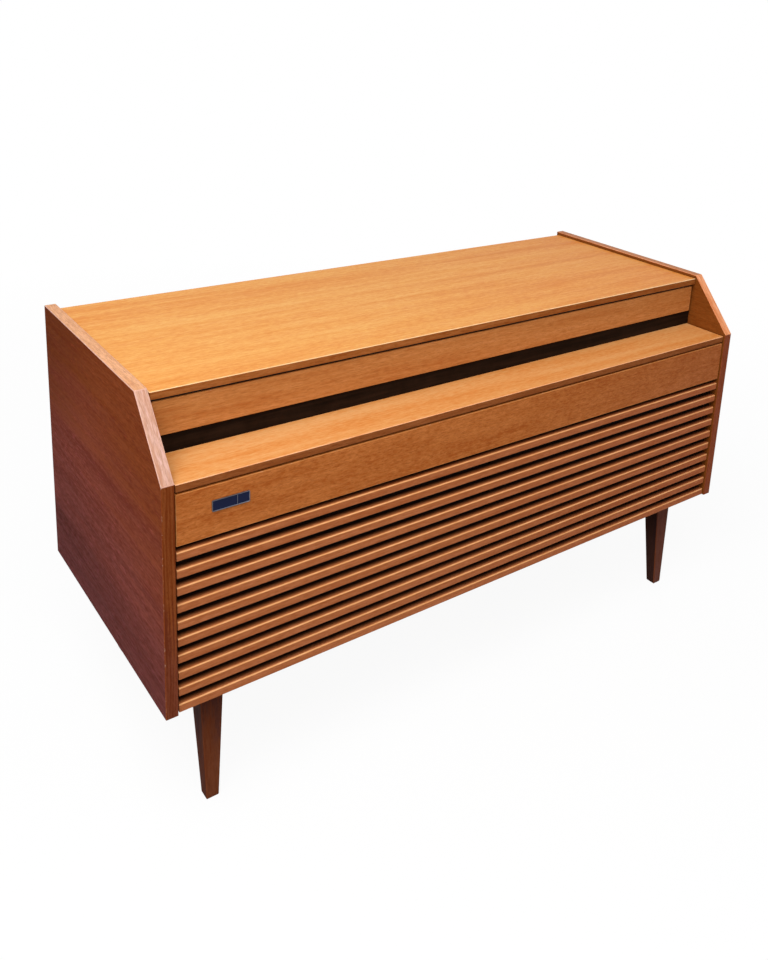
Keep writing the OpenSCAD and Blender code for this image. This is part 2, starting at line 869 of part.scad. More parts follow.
module control_panel() {
  color("darkgoldenrod")
    difference() {
      block([radio_x, radio_y, deck_z], [radio_x + radio_w, radio_y + radio_d, radio_top]);
      block([radio_x + radio_wall, radio_y + radio_wall, deck_z - over],
            [radio_x + radio_w - radio_wall, radio_y + radio_d - radio_wall, radio_under]);
      block([pointer_x - pointer_slot, pointer_y - pointer_slot / 2, radio_under - over],
            [pointer_x + pointer_travel + pointer_slot, pointer_y + pointer_slot / 2,
             radio_top + over]);
      for (p = knob_places)
        rod(p[0], p[1], radio_under - over, radio_top + over, shaft_r + run_gap);
      for (i = [0:button_count - 1])
        translate([button_x + i * button_pitch, button_y, 0])
          block([-button_w / 2 - button_gap, -button_d / 2 - button_gap, radio_under - over],
                [button_w / 2 + button_gap, button_d / 2 + button_gap, radio_top + over]);
    }
}

module tuning_scale() {
  color("darkslategray")
    block([scale_x, scale_y, radio_top], [scale_x + scale_w, scale_y + scale_d, radio_top + scale_t]);
}

module dial_pointer() {
  low = radio_top + pass_gap;
  needle_z = radio_top + scale_t + pass_gap;
  tongue = pointer_slot / 2 - pass_gap;
  color("red") {
    block([pointer_x - tongue, pointer_y - tongue, radio_under - tongue_drop],
          [pointer_x + tongue, pointer_y + tongue, low + over]);
    block([pointer_x - pointer_w / 2, pointer_y - pointer_d / 2, low],
          [pointer_x + pointer_w / 2, pointer_y + pointer_d / 2, needle_z + needle_t]);
    block([pointer_x - needle_w / 2, pointer_y, needle_z],
          [pointer_x + needle_w / 2, scale_y + scale_d - needle_end, needle_z + needle_t]);
  }
}

module knob(p, r) {
  z = radio_top + pass_gap;
  color(ivory) {
    rod(p[0], p[1], deck_z - board_t + pass_gap, z + over, shaft_r);
    rod(p[0], p[1], z, z + knob_skirt, r);
    translate([p[0], p[1], z + knob_skirt])
      cylinder(h = knob_h - knob_skirt, r1 = r * (1 + knob_top_r) / 2, r2 = r * knob_top_r);
  }
}

module push_button(i) {
  x = button_x + (i - 1) * button_pitch;
  color(ivory)
    block([x - button_w / 2, button_y - button_d / 2, radio_top - button_stem],
          [x + button_w / 2, button_y + button_d / 2, radio_top + button_rise]);
}

module radio_chassis() {
  top = deck_z - board_t;
  low = top - chassis_h;
  color("silver") {
    difference() {
      block([chassis_x, chassis_y, low], [chassis_x + chassis_w, chassis_y + chassis_d, top]);
      block([chassis_x + chassis_wall, chassis_y + chassis_wall, low - over],
            [chassis_x + chassis_w - chassis_wall, chassis_y + chassis_d - chassis_wall,
             top - chassis_wall]);
    }
    block([chassis_x + chassis_w - transformer_w, chassis_y + chassis_d - transformer_w,
           top - transformer_h],
          [chassis_x + chassis_w, chassis_y + chassis_d, top]);
  }
}

// ---- lid ----

module lid_board() {
  color(teak)
    block([-lid_x, lid_front, lid_low], [lid_x, leaf_edge - pass_gap, lid_top]);
}

module lid_strip() {
  color(teak)
    bar(-lid_x + strip_end, lid_x - strip_end)
      polygon([[strip_y, strip_low], [strip_y + strip_t, strip_low], [strip_y + strip_t, lid_low],
               [strip_y + strip_groove, lid_low], [strip_y + strip_groove, lid_low - strip_groove],
               [strip_y, lid_low - strip_groove]]);
}

// leaf plate between two levels, with a tab for each knuckle of the given parity
module hinge_leaf(z0, z1, parity) {
  block([-hinge_x, leaf_edge - leaf_w, z0], [hinge_x, leaf_edge, z1]);
  for (i = [parity:2:knuckle_count - 1]) {
    x0 = -hinge_x + i * knuckle_pitch + knuckle_gap / 2;
    x1 = x0 + knuckle_pitch - knuckle_gap;
    block([x0, leaf_edge - over, z0], [x1, axis_y, z1]);
    rod_x(x0, x1, axis_y, axis_z, knuckle_r);
  }
}

module case_hinge_leaf() {
  color(gold) {
    hinge_leaf(rear_top, rear_top + leaf_t, 0);
    rod_x(-hinge_x + over, hinge_x - over, axis_y, axis_z, hinge_pin_r);
  }
}

module lid_hinge_leaf() {
  color(gold)
    difference() {
      hinge_leaf(lid_low - leaf_t, lid_low, 1);
      rod_x(-hinge_x - over, hinge_x + over, axis_y, axis_z, hinge_pin_r + run_gap);
    }
}

// part of a ring about the hinge, from one angle below the level to another
module quadrant(r0, r1, a0, a1, x0, x1) {
  translate([x0, axis_y, axis_z]) rotate([-90, 0, -90]) rotate([0, 0, a0])
    rotate_extrude(angle = a1 - a0)
      translate([r0, 0]) square([r1 - r0, x1 - x0]);
}

module stay_quadrant() {
  x0 = stay_x - stay_t;
  foot_y = axis_y - stay_r;
  color(gold) {
    difference() {
      quadrant(stay_in, stay_out, 0, stay_end, x0, stay_x);
      quadrant(stay_r - stay_slot / 2, stay_r + stay_slot / 2, stay_dip - stay_ease,
               stay_dip + lid_open + stay_ease, x0 - over, stay_x + over);
    }
    block([stay_x - stay_foot_w, foot_y - stay_foot / 2, lid_low - stay_t],
          [stay_x, foot_y + stay_foot / 2, lid_low]);
  }
}

module stay_guide() {
  color(gold) {
    block([in_x - bracket_t, guide_y - bracket_w / 2, guide_z - bracket_drop],
          [in_x, guide_y + bracket_w / 2, guide_z + bracket_rise]);
    rod_x(stay_x + pass_gap, in_x - bracket_t + over, guide_y, guide_z, guide_r);
    rod_x(stay_x - stay_t - pass_gap - over, stay_x + pass_gap + over, guide_y, guide_z, rivet_r);
    rod_x(stay_x - stay_t - pass_gap - rivet_head_t, stay_x - stay_t - pass_gap, guide_y, guide_z,
          rivet_head_r);
  }
}

// ---- nodes ----

side_panel(-body_width / 2);  // left_side_panel
side_panel(in_x);  // right_side_panel
bottom_board();
deck_board();
ledge_board();
front_fascia();
nameplate();
recess_rail();
rear_rail();
back_panel();
socket_plate();
grille_frame();
speaker_cloth();
baffle(-in_x, 0, -speaker_x);  // left_baffle
baffle(0, in_x, speaker_x);  // right_baffle
speaker(-speaker_x);  // left_speaker
speaker(speaker_x);  // right_speaker
leg(-front_leg_x, leg_front_y);  // front_left_leg
leg(front_leg_x, leg_front_y);  // front_right_leg
leg(-rear_leg_x, leg_rear_y);  // rear_left_leg
leg(rear_leg_x, leg_rear_y);  // rear_right_leg
deck_plate();
spindle();
deck_motor();
platter();
platter_mat();
arm_pedestal();
arm_rest();
arm_turret();
tonearm();
speed_lever();
start_slide();
control_panel();
tuning_scale();
dial_pointer();
knob(knob_places[0], tuning_r);  // tuning_knob
knob(knob_places[1], knob_r);  // volume_knob
knob(knob_places[2], knob_r);  // tone_knob
knob(knob_places[3], knob_r);  // balance_knob
radio_chassis();
lid_board();
lid_strip();
case_hinge_leaf();
lid_hinge_leaf();
stay_quadrant();
stay_guide();
for (i = [1:slat_count])
  slat(i);
for (i = [1:button_count])
  push_button(i);
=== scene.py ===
"""Low record-player cabinet: veneered boards, louvres, legs, record deck and radio panel."""

import json
import math

import bmesh
import bpy
from bpy.props import FloatProperty, FloatVectorProperty, IntProperty, PointerProperty
from mathutils import Matrix, Vector


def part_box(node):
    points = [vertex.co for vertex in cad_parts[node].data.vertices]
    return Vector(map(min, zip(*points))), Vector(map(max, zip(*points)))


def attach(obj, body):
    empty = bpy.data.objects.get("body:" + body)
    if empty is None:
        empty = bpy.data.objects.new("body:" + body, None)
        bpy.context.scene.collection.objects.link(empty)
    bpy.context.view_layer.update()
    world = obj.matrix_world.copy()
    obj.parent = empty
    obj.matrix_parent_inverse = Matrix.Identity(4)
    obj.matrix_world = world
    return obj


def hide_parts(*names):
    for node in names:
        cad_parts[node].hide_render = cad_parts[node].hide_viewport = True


bl_info = {
    "name": "Record-player cabinet",
    "version": (1, 0, 0),
    "blender": (4, 5, 0),
    "location": "3D View > Sidebar > Cabinet",
    "description": "Builds the boards, louvres, deck and radio of a low record-player cabinet",
    "category": "Add Mesh",
}

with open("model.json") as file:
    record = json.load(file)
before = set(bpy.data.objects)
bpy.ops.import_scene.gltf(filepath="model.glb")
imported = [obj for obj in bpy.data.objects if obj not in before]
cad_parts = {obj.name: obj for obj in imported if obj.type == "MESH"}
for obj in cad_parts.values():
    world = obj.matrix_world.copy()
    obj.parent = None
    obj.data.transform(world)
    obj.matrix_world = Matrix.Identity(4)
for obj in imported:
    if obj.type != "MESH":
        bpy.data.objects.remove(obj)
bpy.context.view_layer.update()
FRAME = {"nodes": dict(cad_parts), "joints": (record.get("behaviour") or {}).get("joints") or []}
JOINTS = {joint["name"]: joint for joint in FRAME["joints"]}
KNOBS = ("tuning", "volume", "tone", "balance")
SLOPE_RUN = 0.079
SLOPE_DROP = 0.091


def axis_of(joint):
    """The point that a joint's axis goes through"""
    return Vector(JOINTS[joint]["pos_m"])


# ---- sizes and colours that a user would change ----


def length(name, description, default):
    """A size in metres"""
    return FloatProperty(name=name, description=description, default=default, unit="LENGTH",
                         precision=5, min=0.0)


def colour(name, description, default):
    """A colour in linear light"""
    return FloatVectorProperty(name=name, description=description, default=default,
                               subtype="COLOR", min=0.0, max=1.0)


class CabinetSizes(bpy.types.PropertyGroup):
    """Sizes of the softened edges and small fittings"""

    slope_run: length("Slope run", "How far back the side panel's slope reaches", SLOPE_RUN)
    slope_drop: length("Slope drop", "Height of the side panel's slope", SLOPE_DROP)
    arris: length("Board arris", "Softening of the boards' edges", 0.0009)
    groove: length("Shadow groove", "Height and depth of the groove above strip and fascia", 0.003)
    slat_round: length("Slat rounding", "Radius of a slat's top front edge", 0.0025)
    slat_arris: length("Slat arris", "Softening of a slat's other edges", 0.0007)
    leg_arris: length("Leg arris", "Softening of the legs' long edges", 0.0014)
    plate_rim: length("Plate rim", "Width of the bare plate's bright rim", 0.0008)
    screw: length("Screw head", "Radius of the screw heads in the back", 0.0032)
    mat_ribs: IntProperty(name="Mat ribs", description="Ribs across the platter's mat",
                          default=22, min=4, max=40)
    flutes: IntProperty(name="Knob flutes", description="Flutes round each knob",
                        default=28, min=8, max=48)


class CabinetColours(bpy.types.PropertyGroup):
    """Colours of the finishes"""

    lid: colour("Lid veneer", "Golden teak of the lid", (0.700, 0.298, 0.061))
    ledge: colour("Ledge veneer", "Orange teak of the ledge", (0.690, 0.291, 0.084))
    strip: colour("Strip veneer", "Teak of the lid's front strip", (0.515, 0.192, 0.050))
    fascia: colour("Fascia veneer", "Teak of the fascia", (0.465, 0.138, 0.0285))
    side: colour("Side veneer", "Red-brown outer face of the side panels", (0.226, 0.0455, 0.0087))
    inner: colour("Inner veneer", "Brown inner face of the side panels", (0.215, 0.060, 0.009))
    top_edge: colour("Top edging", "Solid edging along the panels' top", (0.62, 0.280, 0.11))
    # The slope edging's pale pink is a painted sheen over the teak
    slope_edge: colour("Slope edging", "Solid edging down the slope", (0.53, 0.290, 0.205))
    # The right panel's edgings are copies with their own painted light and shade
    far_edge: colour("Right edging", "Edging of the right panel", (0.47, 0.170, 0.056))
    front_edge: colour("Front edging", "Solid edging down the front", (0.203, 0.047, 0.0092))
    slat: colour("Slat", "Solid teak of the slats", (0.425, 0.129, 0.041))
    leg: colour("Leg", "Dark stained wood of the legs", (0.150, 0.040, 0.0145))
    black: colour("Black paint", "Paint behind the slats and in the recess",
                  (0.0112, 0.0052, 0.0027))
    enamel: colour("Plate enamel", "Navy field of the bare plate", (0.008, 0.012, 0.042))
    ivory: colour("Ivory", "Ivory plastic of knobs, keys and arm", (0.80, 0.74, 0.58))
    cream: colour("Deck enamel", "Cream enamel of the deck plate", (0.66, 0.61, 0.49))
    gold: colour("Panel", "Brushed gold of the control panel", (0.70, 0.53, 0.28))
    brass: colour("Brass", "Lacquered brass of hinge and stay", (0.63, 0.47, 0.25))


class CabinetStudio(bpy.types.PropertyGroup):
    """Camera and soft light"""

    camera_place: FloatVectorProperty(name="Camera place", description="Where the camera stands",
                                      default=(-0.90752, -1.18831, 1.07060), subtype="XYZ",
                                      unit="LENGTH", precision=5)
    camera_turn: FloatVectorProperty(name="Camera turn", description="How the camera is turned",
                                     default=(1.310323, -0.051239, -0.643200), subtype="EULER",
                                     precision=5)
    lens: FloatProperty(name="Lens", description="Focal length", default=35.98, unit="CAMERA")
    aside: FloatProperty(name="Shift X", description="Sideways shift", default=-0.0479,
                         precision=4)
    raised: FloatProperty(name="Shift Y", description="Upward shift", default=-0.2396,
                          precision=4)
    sky: FloatProperty(name="Sky", description="Level of the even light", default=0.40, min=0.0)
    key: FloatProperty(name="Key", description="Power of the large lamp above", default=62.0,
                       unit="POWER", min=0.0)
    fill: FloatProperty(name="Fill", description="Power of the lamp in front", default=14.0,
                        unit="POWER", min=0.0)
    behind: FloatProperty(name="Behind", description="Power of the low lamp behind on the right",
                          default=20.0, unit="POWER", min=0.0)


# ---- materials ----


class NodeTree:
    """A node tree, with short calls that add nodes and join them"""

    def __init__(self, owner, kind):
        owner.use_nodes = True
        self.tree = owner.node_tree
        self.tree.nodes.clear()
        self.end = self.tree.nodes.new("ShaderNodeOutput" + kind)

    def add(self, kind, values, out=0, **settings):
        """Adds a node and gives back one of its outputs"""
        node = self.tree.nodes.new("ShaderNode" + kind)
        for key, value in settings.items():
            setattr(node, key, value)
        for key, value in values.items():
            self.put(node, key, value)
        return node.outputs[out]

    def put(self, node, key, value):
        """Joins an output to a node's input, or sets the input to a value"""
        if isinstance(value, bpy.types.NodeSocket):
            self.tree.links.new(value, node.inputs[key])
        else:
            node.inputs[key].default_value = value

    def calc(self, operation, a, b=0.0, c=0.0):
        return self.add("Math", {0: a, 1: b, 2: c}, operation=operation)

    def total(self, *parts, start=0.0):
        """Sum of values, each taken with its own share"""
        for value, share in parts:
            start = self.calc("MULTIPLY_ADD", value, share, start)
        return start


class Shading(NodeTree):
    """A material of one surface, whose patterns lie in the piece's own coordinates"""

    def __init__(self, name):
        self.material = bpy.data.materials.new(name)
        super().__init__(self.material, "Material")
        self.surface = self.tree.nodes.new("ShaderNodeBsdfPrincipled")
        self.put(self.end, "Surface", self.surface.outputs[0])

    def coat(self, **values):
        """Sets the surface's own sockets, with _ for each space in a name"""
        for key, value in values.items():
            self.put(self.surface, key.replace("_", " "), value)
        return self.material

    def place(self, turn=(0, 0, 0), shift=(0, 0, 0)):
        """The piece's own coordinates, shifted and then turned"""
        at = self.add("TexCoord", {}, "Object")
        moved = self.add("Mapping", {"Vector": at, "Location": shift})
        return self.add("Mapping", {"Vector": moved, "Rotation": turn})

    def along(self, at, axis):
        return self.add("SeparateXYZ", {"Vector": at}, axis)

    def here(self, axis):
        """The piece's own X, Y or Z"""
        return self.along(self.add("TexCoord", {}, "Object"), axis)

    def stretch(self, at, scale):
        return self.add("VectorMath", {0: at, 1: scale}, operation="MULTIPLY")

    def distance(self, at):
        return self.add("VectorMath", {0: at}, "Value", operation="LENGTH")

    def noise(self, at, scale=(1, 1, 1), detail=2.0, roughness=0.5, distortion=0.0):
        """Cloudy pattern, with its scale as patches in a metre along each axis"""
        return self.add("TexNoise", {"Vector": self.stretch(at, scale), "Scale": 1.0,
                                     "Detail": detail, "Roughness": roughness,
                                     "Distortion": distortion})

    def level(self, value, low, high, to_low=0.0, to_high=1.0):
        return self.add("MapRange", {"Value": value, "From Min": low, "From Max": high,
                                     "To Min": to_low, "To Max": to_high})

    def blend(self, factor, a, b, mode="MIX"):
        def full(value):
            return (*value, 1.0) if isinstance(value, tuple) else value
        return self.add("Mix", {0: factor, 6: full(a), 7: full(b)}, 2, data_type="RGBA",
                        blend_type=mode)

    def ramp(self, value, stops):
        node = self.tree.nodes.new("ShaderNodeValToRGB")
        self.put(node, "Fac", value)
        while len(node.color_ramp.elements) < len(stops):
            node.color_ramp.elements.new(0.5)
        for element, (position, tint) in zip(node.color_ramp.elements, stops):
            element.position = position
            element.color = (*tint, 1.0)
        return node.outputs["Color"]

    def relief(self, height, depth, strength):
        return self.add("Bump", {"Height": height, "Distance": depth, "Strength": strength})


def shade(tint, factor, red=1.0, blue=1.0):
    """A tint made darker or lighter, with its red and blue moved"""
    return (min(1.0, tint[0] * factor * red), min(1.0, tint[1] * factor),
            min(1.0, tint[2] * factor * blue))


# How a piece's coordinates are turned so that the grain runs along their X
GRAIN = {
    "x": (0.0, 0.0, 0.0),
    "y": (0.0, 0.0, -math.pi / 2),
    "z": (0.0, math.pi / 2, 0.0),
    "slope": (-math.atan2(SLOPE_DROP, SLOPE_RUN), 0.0, -math.pi / 2),
}

# How a wood's dark streaks, light streaks and pores differ from its tint: factor, red and blue
BROWN_TONES = ((0.66, 1.26, 0.78), (1.27, 0.93, 1.2), (0.42, 1.30, 0.8))
GOLDEN_TONES = ((0.74, 1.23, 0.72), (1.22, 0.86, 1.25), (0.60, 1.42, 0.7))
# How far from 0.5 a tone is fully dark or light, and how much two leaves of veneer may differ
TONE_SPREAD = 0.14
LEAF_STEP = 0.05
# How much the figure and the whole tone roughen the edge of a wash of painted light and shade
WASH_EDGE_SHARES = (0.20, 0.35)
# Painted shade on the slats' tops, where the gaps between them fall dark
PAINTED_SHADE_BLACK = (0.004, 0.002, 0.001)
BARE_WOOD = (0.72, 0.56, 0.42)


def grain_tone(s, at, curl, broad, drawn, cloud, short):
    """Tone of the grain, 0.5 in its middle, and its figure, streaks and dashes by themselves"""
    figure = s.noise(at, (1.6, 30, 30), 4.0, 0.55, curl)
    streak = s.noise(at, (9, 210, 210), 3.0, 0.6, 0.5 * curl)
    dash = s.noise(at, (70 * short, 400, 400), 2.0, 0.6, 0.3 * curl)
    mottle = s.noise(at, (15, 34, 34), 3.0, 0.55, 0.4)
    fine = 1.0 - broad - cloud
    tone = s.total((streak, drawn * fine), (figure, broad), (dash, (1.0 - drawn) * fine),
                   (mottle, cloud))
    return tone, figure, streak, dash


def leaf_steps(s, across, leaf):
    """A small step of tone from one leaf of the veneer to the next"""
    sheet = s.calc("FLOOR", s.calc("DIVIDE", across, leaf))
    step = s.add("TexWhiteNoise", {"W": sheet}, "Value", noise_dimensions="1D")
    return s.calc("MULTIPLY_ADD", step, LEAF_STEP, -LEAF_STEP / 2)


def year_rings(s, at, across):
    """Narrow wavy lines, from -1 to 1"""
    warp = s.noise(at, (4.5, 26, 26), 2.0, 0.5)
    return s.calc("SINE", s.total((across, 1500.0), (warp, 26.0)))


def open_pores(s, at, short, curl, fleck):
    """Short broad pores and long hair-fine ones"""
    marks = s.noise(at, (75 * short, 760, 760), 1.5, 0.5, 0.5 * curl)
    hairs = s.noise(at, (120 * short, 2400, 2400), 1.0, 0.5, 0.3 * curl)
    return s.calc("MAXIMUM", s.level(marks, 0.56, 0.68, 0.0, fleck),
                  s.level(hairs, 0.58, 0.64, 0.0, fleck))


def wood(name, tint, grain="x", shift=(0.0, 0.0, 0.0), contrast=1.0, fleck=0.45, leaf=0.0,
         rough=0.46, shine=0.12, wear=0.0, curl=0.6, pale_fleck=0.0, painted_light_washes=(), cloud=0.10,
         short=1.0, rings=0.0, recess=None, drawn=0.5, tan=None, broad=0.28,
         tones=BROWN_TONES, depth=0.45):
    """Veneer or solid wood whose grain runs along one axis of the piece

    Its tone is shared between a broad figure, a cloudy mottle, and fine grain, which is part
    drawn-out streaks and part dashes, short ones where short is more than 1. Each wash of
    painted light and shade is (height where it starts, height where it is full, lean with Y,
    colour), the painted fall-off of light along X is (start, full, colour), and recess is
    (start, full) of painted shade that turns the wood black towards the back.
    """
    s = Shading(name)
    at = s.place(GRAIN[grain], shift)
    across = s.along(at, "Y" if grain == "x" else "Z")
    tone, figure, streak, dash = grain_tone(s, at, curl, broad, drawn, cloud, short)
    if leaf:
        tone = s.calc("ADD", tone, leaf_steps(s, across, leaf))
    if rings:
        tone = s.total((year_rings(s, at, across), rings), start=tone)
    spread = TONE_SPREAD / contrast
    dark, light, pore = tones
    body = s.ramp(tone, [(0.5 - spread, shade(tint, *dark)), (0.5, tint),
                         (0.5 + spread, shade(tint, *light))])
    pores = open_pores(s, at, short, curl, fleck)
    body = s.blend(pores, body, shade(tint, *pore))
    if pale_fleck:
        rays = s.noise(at, (60, 420, 420), 1.0, 0.5, 1.0)
        body = s.blend(s.level(rays, 0.62, 0.76, 0.0, pale_fleck), body,
                       shade(tint, 1.9, 1.0, 1.8))
    # Washes of painted light and shade, each full from one height to another
    for low, high, lean, painted_light_tint in painted_light_washes:
        wash = s.total(*zip((figure, tone), WASH_EDGE_SHARES), (s.here("Y"), -lean), start=s.here("Z"))
        middle = 0.5 * sum(WASH_EDGE_SHARES)
        body = s.blend(s.level(wash, low + middle, high + middle), body, painted_light_tint, "MULTIPLY")
    # Painted fall-off of light along X, darker towards the right
    if tan:
        low, high, painted_falloff_tint = tan
        wash = s.total((figure, 0.4), start=s.here("X"))
        body = s.blend(s.level(wash, low, high), body, painted_falloff_tint, "MULTIPLY")
    # Painted shade: the wood goes black towards the back
    if recess:
        body = s.blend(s.level(s.here("Y"), *recess, 0.0, 0.95), body, PAINTED_SHADE_BLACK)
    if wear:
        chips = s.noise(at, (170, 300, 300), 3.0, 0.75)
        body = s.blend(s.level(chips, 0.60, 0.66, 0.0, wear), body, BARE_WOOD)
    height = s.total((pores, -0.8), (dash, 0.35))
    return s.coat(Base_Color=body, Roughness=s.level(streak, 0.3, 0.7, rough + 0.06, rough - 0.05),
                  Specular_IOR_Level=shine, Normal=s.relief(height, 0.00012, depth))


def leg_wood(name, tint, shift, painted_shade):
    """Dark stained wood of a leg, with painted shade towards the underside of the cabinet"""
    return wood(name, tint, "z", (shift, 0.1, 0.4), contrast=1.2, fleck=0.4, shine=0.03,
                painted_light_washes=((0.08, 0.150, 0.0, painted_shade),))


def painted_wood(name, tint):
    """Thin dark paint, with the grain just showing through it"""
    s = Shading(name)
    at = s.place()
    streak = s.noise(at, (6, 150, 150), 3.0, 0.6, 0.5)
    dust = s.noise(at, (40, 40, 40), 4.0, 0.7)
    body = s.ramp(s.total((streak, 0.6), (dust, 0.4)),
                  [(0.40, shade(tint, 0.55)), (0.62, shade(tint, 1.7))])
    return s.coat(Base_Color=body, Roughness=s.level(dust, 0.3, 0.7, 0.50, 0.67),
                  Specular_IOR_Level=0.05, Normal=s.relief(streak, 0.0002, 0.4))


def ply(name, tint):
    """Plywood: broad rotary-cut figure on its faces and thin plies on its edges"""
    s = Shading(name)
    at = s.place()
    figure = s.noise(at, (2.2, 13, 13), 4.0, 0.6, 1.4)
    streak = s.noise(at, (9, 240, 240), 3.0, 0.6, 0.4)
    plies = s.calc("SINE", s.calc("MULTIPLY", s.along(at, "Z"), 2600.0))
    tone = s.total((streak, 0.4), (figure, 0.6), (plies, 0.02))
    body = s.ramp(tone, [(0.36, shade(tint, 0.62)), (0.5, tint), (0.64, shade(tint, 1.22))])
    return s.coat(Base_Color=body, Roughness=s.level(streak, 0.3, 0.7, 0.72, 0.60),
                  Specular_IOR_Level=0.25, Normal=s.relief(streak, 0.0003, 0.5))


def pressed_board(name, tint):
    """Tempered hardboard: matted fibres, faint blotches and a dull burnish"""
    s = Shading(name)
    at = s.place()
    fibre = s.noise(at, (420, 420, 90), 3.0, 0.7, 2.5)
    cross = s.noise(at, (90, 420, 420), 3.0, 0.7, 2.5)
    blotch = s.noise(at, (9, 9, 9), 4.0, 0.6)
    tone = s.total((blotch, 0.4), (cross, 0.3), (fibre, 0.3))
    body = s.ramp(tone, [(0.38, shade(tint, 0.68)), (0.5, tint), (0.62, shade(tint, 1.35))])
    return s.coat(Base_Color=body, Roughness=s.level(blotch, 0.3, 0.7, 0.48, 0.66),
                  Specular_IOR_Level=0.3, Normal=s.relief(tone, 0.0004, 0.5))


def moulded(name, tint, rough=0.3, mottle=0.10):
    """Moulded plastic, a little yellowed and dulled in patches"""
    s = Shading(name)
    at = s.place()
    cloud = s.noise(at, (38, 38, 38), 4.0, 0.65)
    skin = s.noise(at, (1400, 1400, 1400), 2.0, 0.6)
    body = s.ramp(cloud, [(0.30, shade(tint, 1.0 - mottle, 1.0, 0.9)), (0.55, tint),
                          (0.75, shade(tint, 1.0 + mottle / 2))])
    return s.coat(Base_Color=body, Roughness=s.level(cloud, 0.3, 0.7, rough + 0.1, rough - 0.04),
                  Normal=s.relief(skin, 0.00005, 0.15))


def enamelled(name, tint, rough=0.35, peel=0.25, hard=0.0, shine=0.5):
    """Sprayed enamel with a slight orange peel and settled dust"""
    s = Shading(name)
    at = s.place()
    skin = s.noise(at, (520, 520, 520), 2.0, 0.5)
    dust = s.noise(at, (26, 26, 26), 5.0, 0.7)
    specks = s.noise(at, (900, 900, 900), 1.0)
    body = s.ramp(dust, [(0.32, shade(tint, 0.86)), (0.55, tint), (0.78, shade(tint, 1.06))])
    body = s.blend(s.level(specks, 0.72, 0.78, 0.0, 0.35), body, shade(tint, 0.6))
    return s.coat(Base_Color=body, Roughness=s.level(dust, 0.3, 0.7, rough + 0.1, rough - 0.05),
                  Specular_IOR_Level=shine, Coat_Weight=hard, Coat_Roughness=0.08,
                  Normal=s.relief(skin, 0.0001, peel))


def brushed(name, tint, rough=0.3, lines=(4, 700, 700), tarnish=0.25):
    """Metal with fine lines along X and some tarnish"""
    s = Shading(name)
    at = s.place()
    line = s.noise(at, lines, 3.0, 0.65)
    stain = s.noise(at, (14, 14, 14), 5.0, 0.6)
    body = s.ramp(stain, [(0.30, shade(tint, 1.0 - tarnish, 1.0, 0.85)), (0.58, tint),
                          (0.80, shade(tint, 1.06))])
    body = s.blend(s.level(line, 0.35, 0.70, 0.0, 0.3), body, shade(tint, 0.80))
    dull = s.level(stain, 0.3, 0.7, rough - 0.04, rough - 0.12)
    return s.coat(Base_Color=body, Metallic=1.0, Roughness=s.total((line, 0.24), start=dull),
                  Normal=s.relief(line, 0.00006, 0.35))


def spun(name, tint, centre, rings=900.0, rough=0.28):
    """Metal turned on a lathe, with fine rings about its own axis"""
    s = Shading(name)
    at = s.place(shift=(-centre[0], -centre[1], 0.0))
    radius = s.distance(s.stretch(at, (1, 1, 0)))
    ring = s.add("TexNoise", {"W": s.calc("MULTIPLY", radius, rings), "Scale": 1.0,
                              "Detail": 2.0}, noise_dimensions="1D")
    stain = s.noise(at, (30, 30, 30), 3.0, 0.6)
    body = s.blend(s.level(stain, 0.35, 0.75, 0.0, 0.35), tint, shade(tint, 0.72))
    dull = s.level(stain, 0.3, 0.7, rough - 0.12, rough)
    return s.coat(Base_Color=body, Metallic=1.0, Roughness=s.total((ring, 0.20), start=dull),
                  Normal=s.relief(ring, 0.00008, 0.4))


def strobe_rim(name, tint, centre, marks, half_height):
    """Turned rim with a row of dark square marks"""
    s = Shading(name)
    at = s.place(shift=(-centre[0], -centre[1], -centre[2]))
    angle = s.calc("ARCTAN2", s.along(at, "Y"), s.along(at, "X"))
    mark = s.calc("GREATER_THAN", s.calc("SINE", s.calc("MULTIPLY", angle, float(marks))), 0.1)
    band = s.calc("LESS_THAN", s.calc("ABSOLUTE", s.along(at, "Z")), half_height)
    stain = s.noise(at, (60, 60, 60), 3.0, 0.6)
    metal = s.blend(s.level(stain, 0.35, 0.75, 0.0, 0.3), tint, shade(tint, 0.75))
    body = s.blend(s.calc("MULTIPLY", mark, band), metal, (0.03, 0.03, 0.03))
    return s.coat(Base_Color=body, Metallic=1.0, Roughness=s.level(stain, 0.3, 0.7, 0.34, 0.22))


def ribbed_rubber(name, tint):
    """Black rubber, greyed in places by dust"""
    s = Shading(name)
    at = s.place()
    dust = s.noise(at, (45, 45, 45), 5.0, 0.7)
    skin = s.noise(at, (1100, 1100, 1100), 2.0)
    body = s.ramp(dust, [(0.35, tint), (0.75, shade(tint, 1.7))])
    return s.coat(Base_Color=body, Roughness=s.level(dust, 0.3, 0.7, 0.55, 0.75),
                  Specular_IOR_Level=0.35, Normal=s.relief(skin, 0.00008, 0.3))


def woven(name, tint, thread, pitch):
    """Plain weave of dark threads, with a paler slub here and there"""
    s = Shading(name)
    at = s.place()
    warp, weft = (s.calc("SINE", s.calc("MULTIPLY", s.along(at, axis), math.tau / pitch))
                  for axis in ("X", "Z"))
    cloth = s.calc("MULTIPLY", warp, weft)
    slub = s.noise(at, (14, 14, 620), 2.0, 0.6)
    body = s.ramp(s.level(cloth, -1.0, 1.0), [(0.2, shade(tint, 0.5)), (0.8, shade(tint, 1.5))])
    body = s.blend(s.level(slub, 0.58, 0.68, 0.0, 0.4), body, thread)
    return s.coat(Base_Color=body, Roughness=0.9, Sheen_Weight=0.15,
                  Specular_IOR_Level=0.1, Normal=s.relief(cloth, 0.0002, 0.6))


def paper_cone(name, tint):
    """Pressed paper of a loudspeaker cone"""
    s = Shading(name)
    at = s.place()
    pulp = s.noise(at, (520, 520, 520), 4.0, 0.7, 1.5)
    body = s.ramp(pulp, [(0.35, shade(tint, 0.6)), (0.65, shade(tint, 1.6))])
    return s.coat(Base_Color=body, Roughness=0.85, Normal=s.relief(pulp, 0.0003, 0.5))


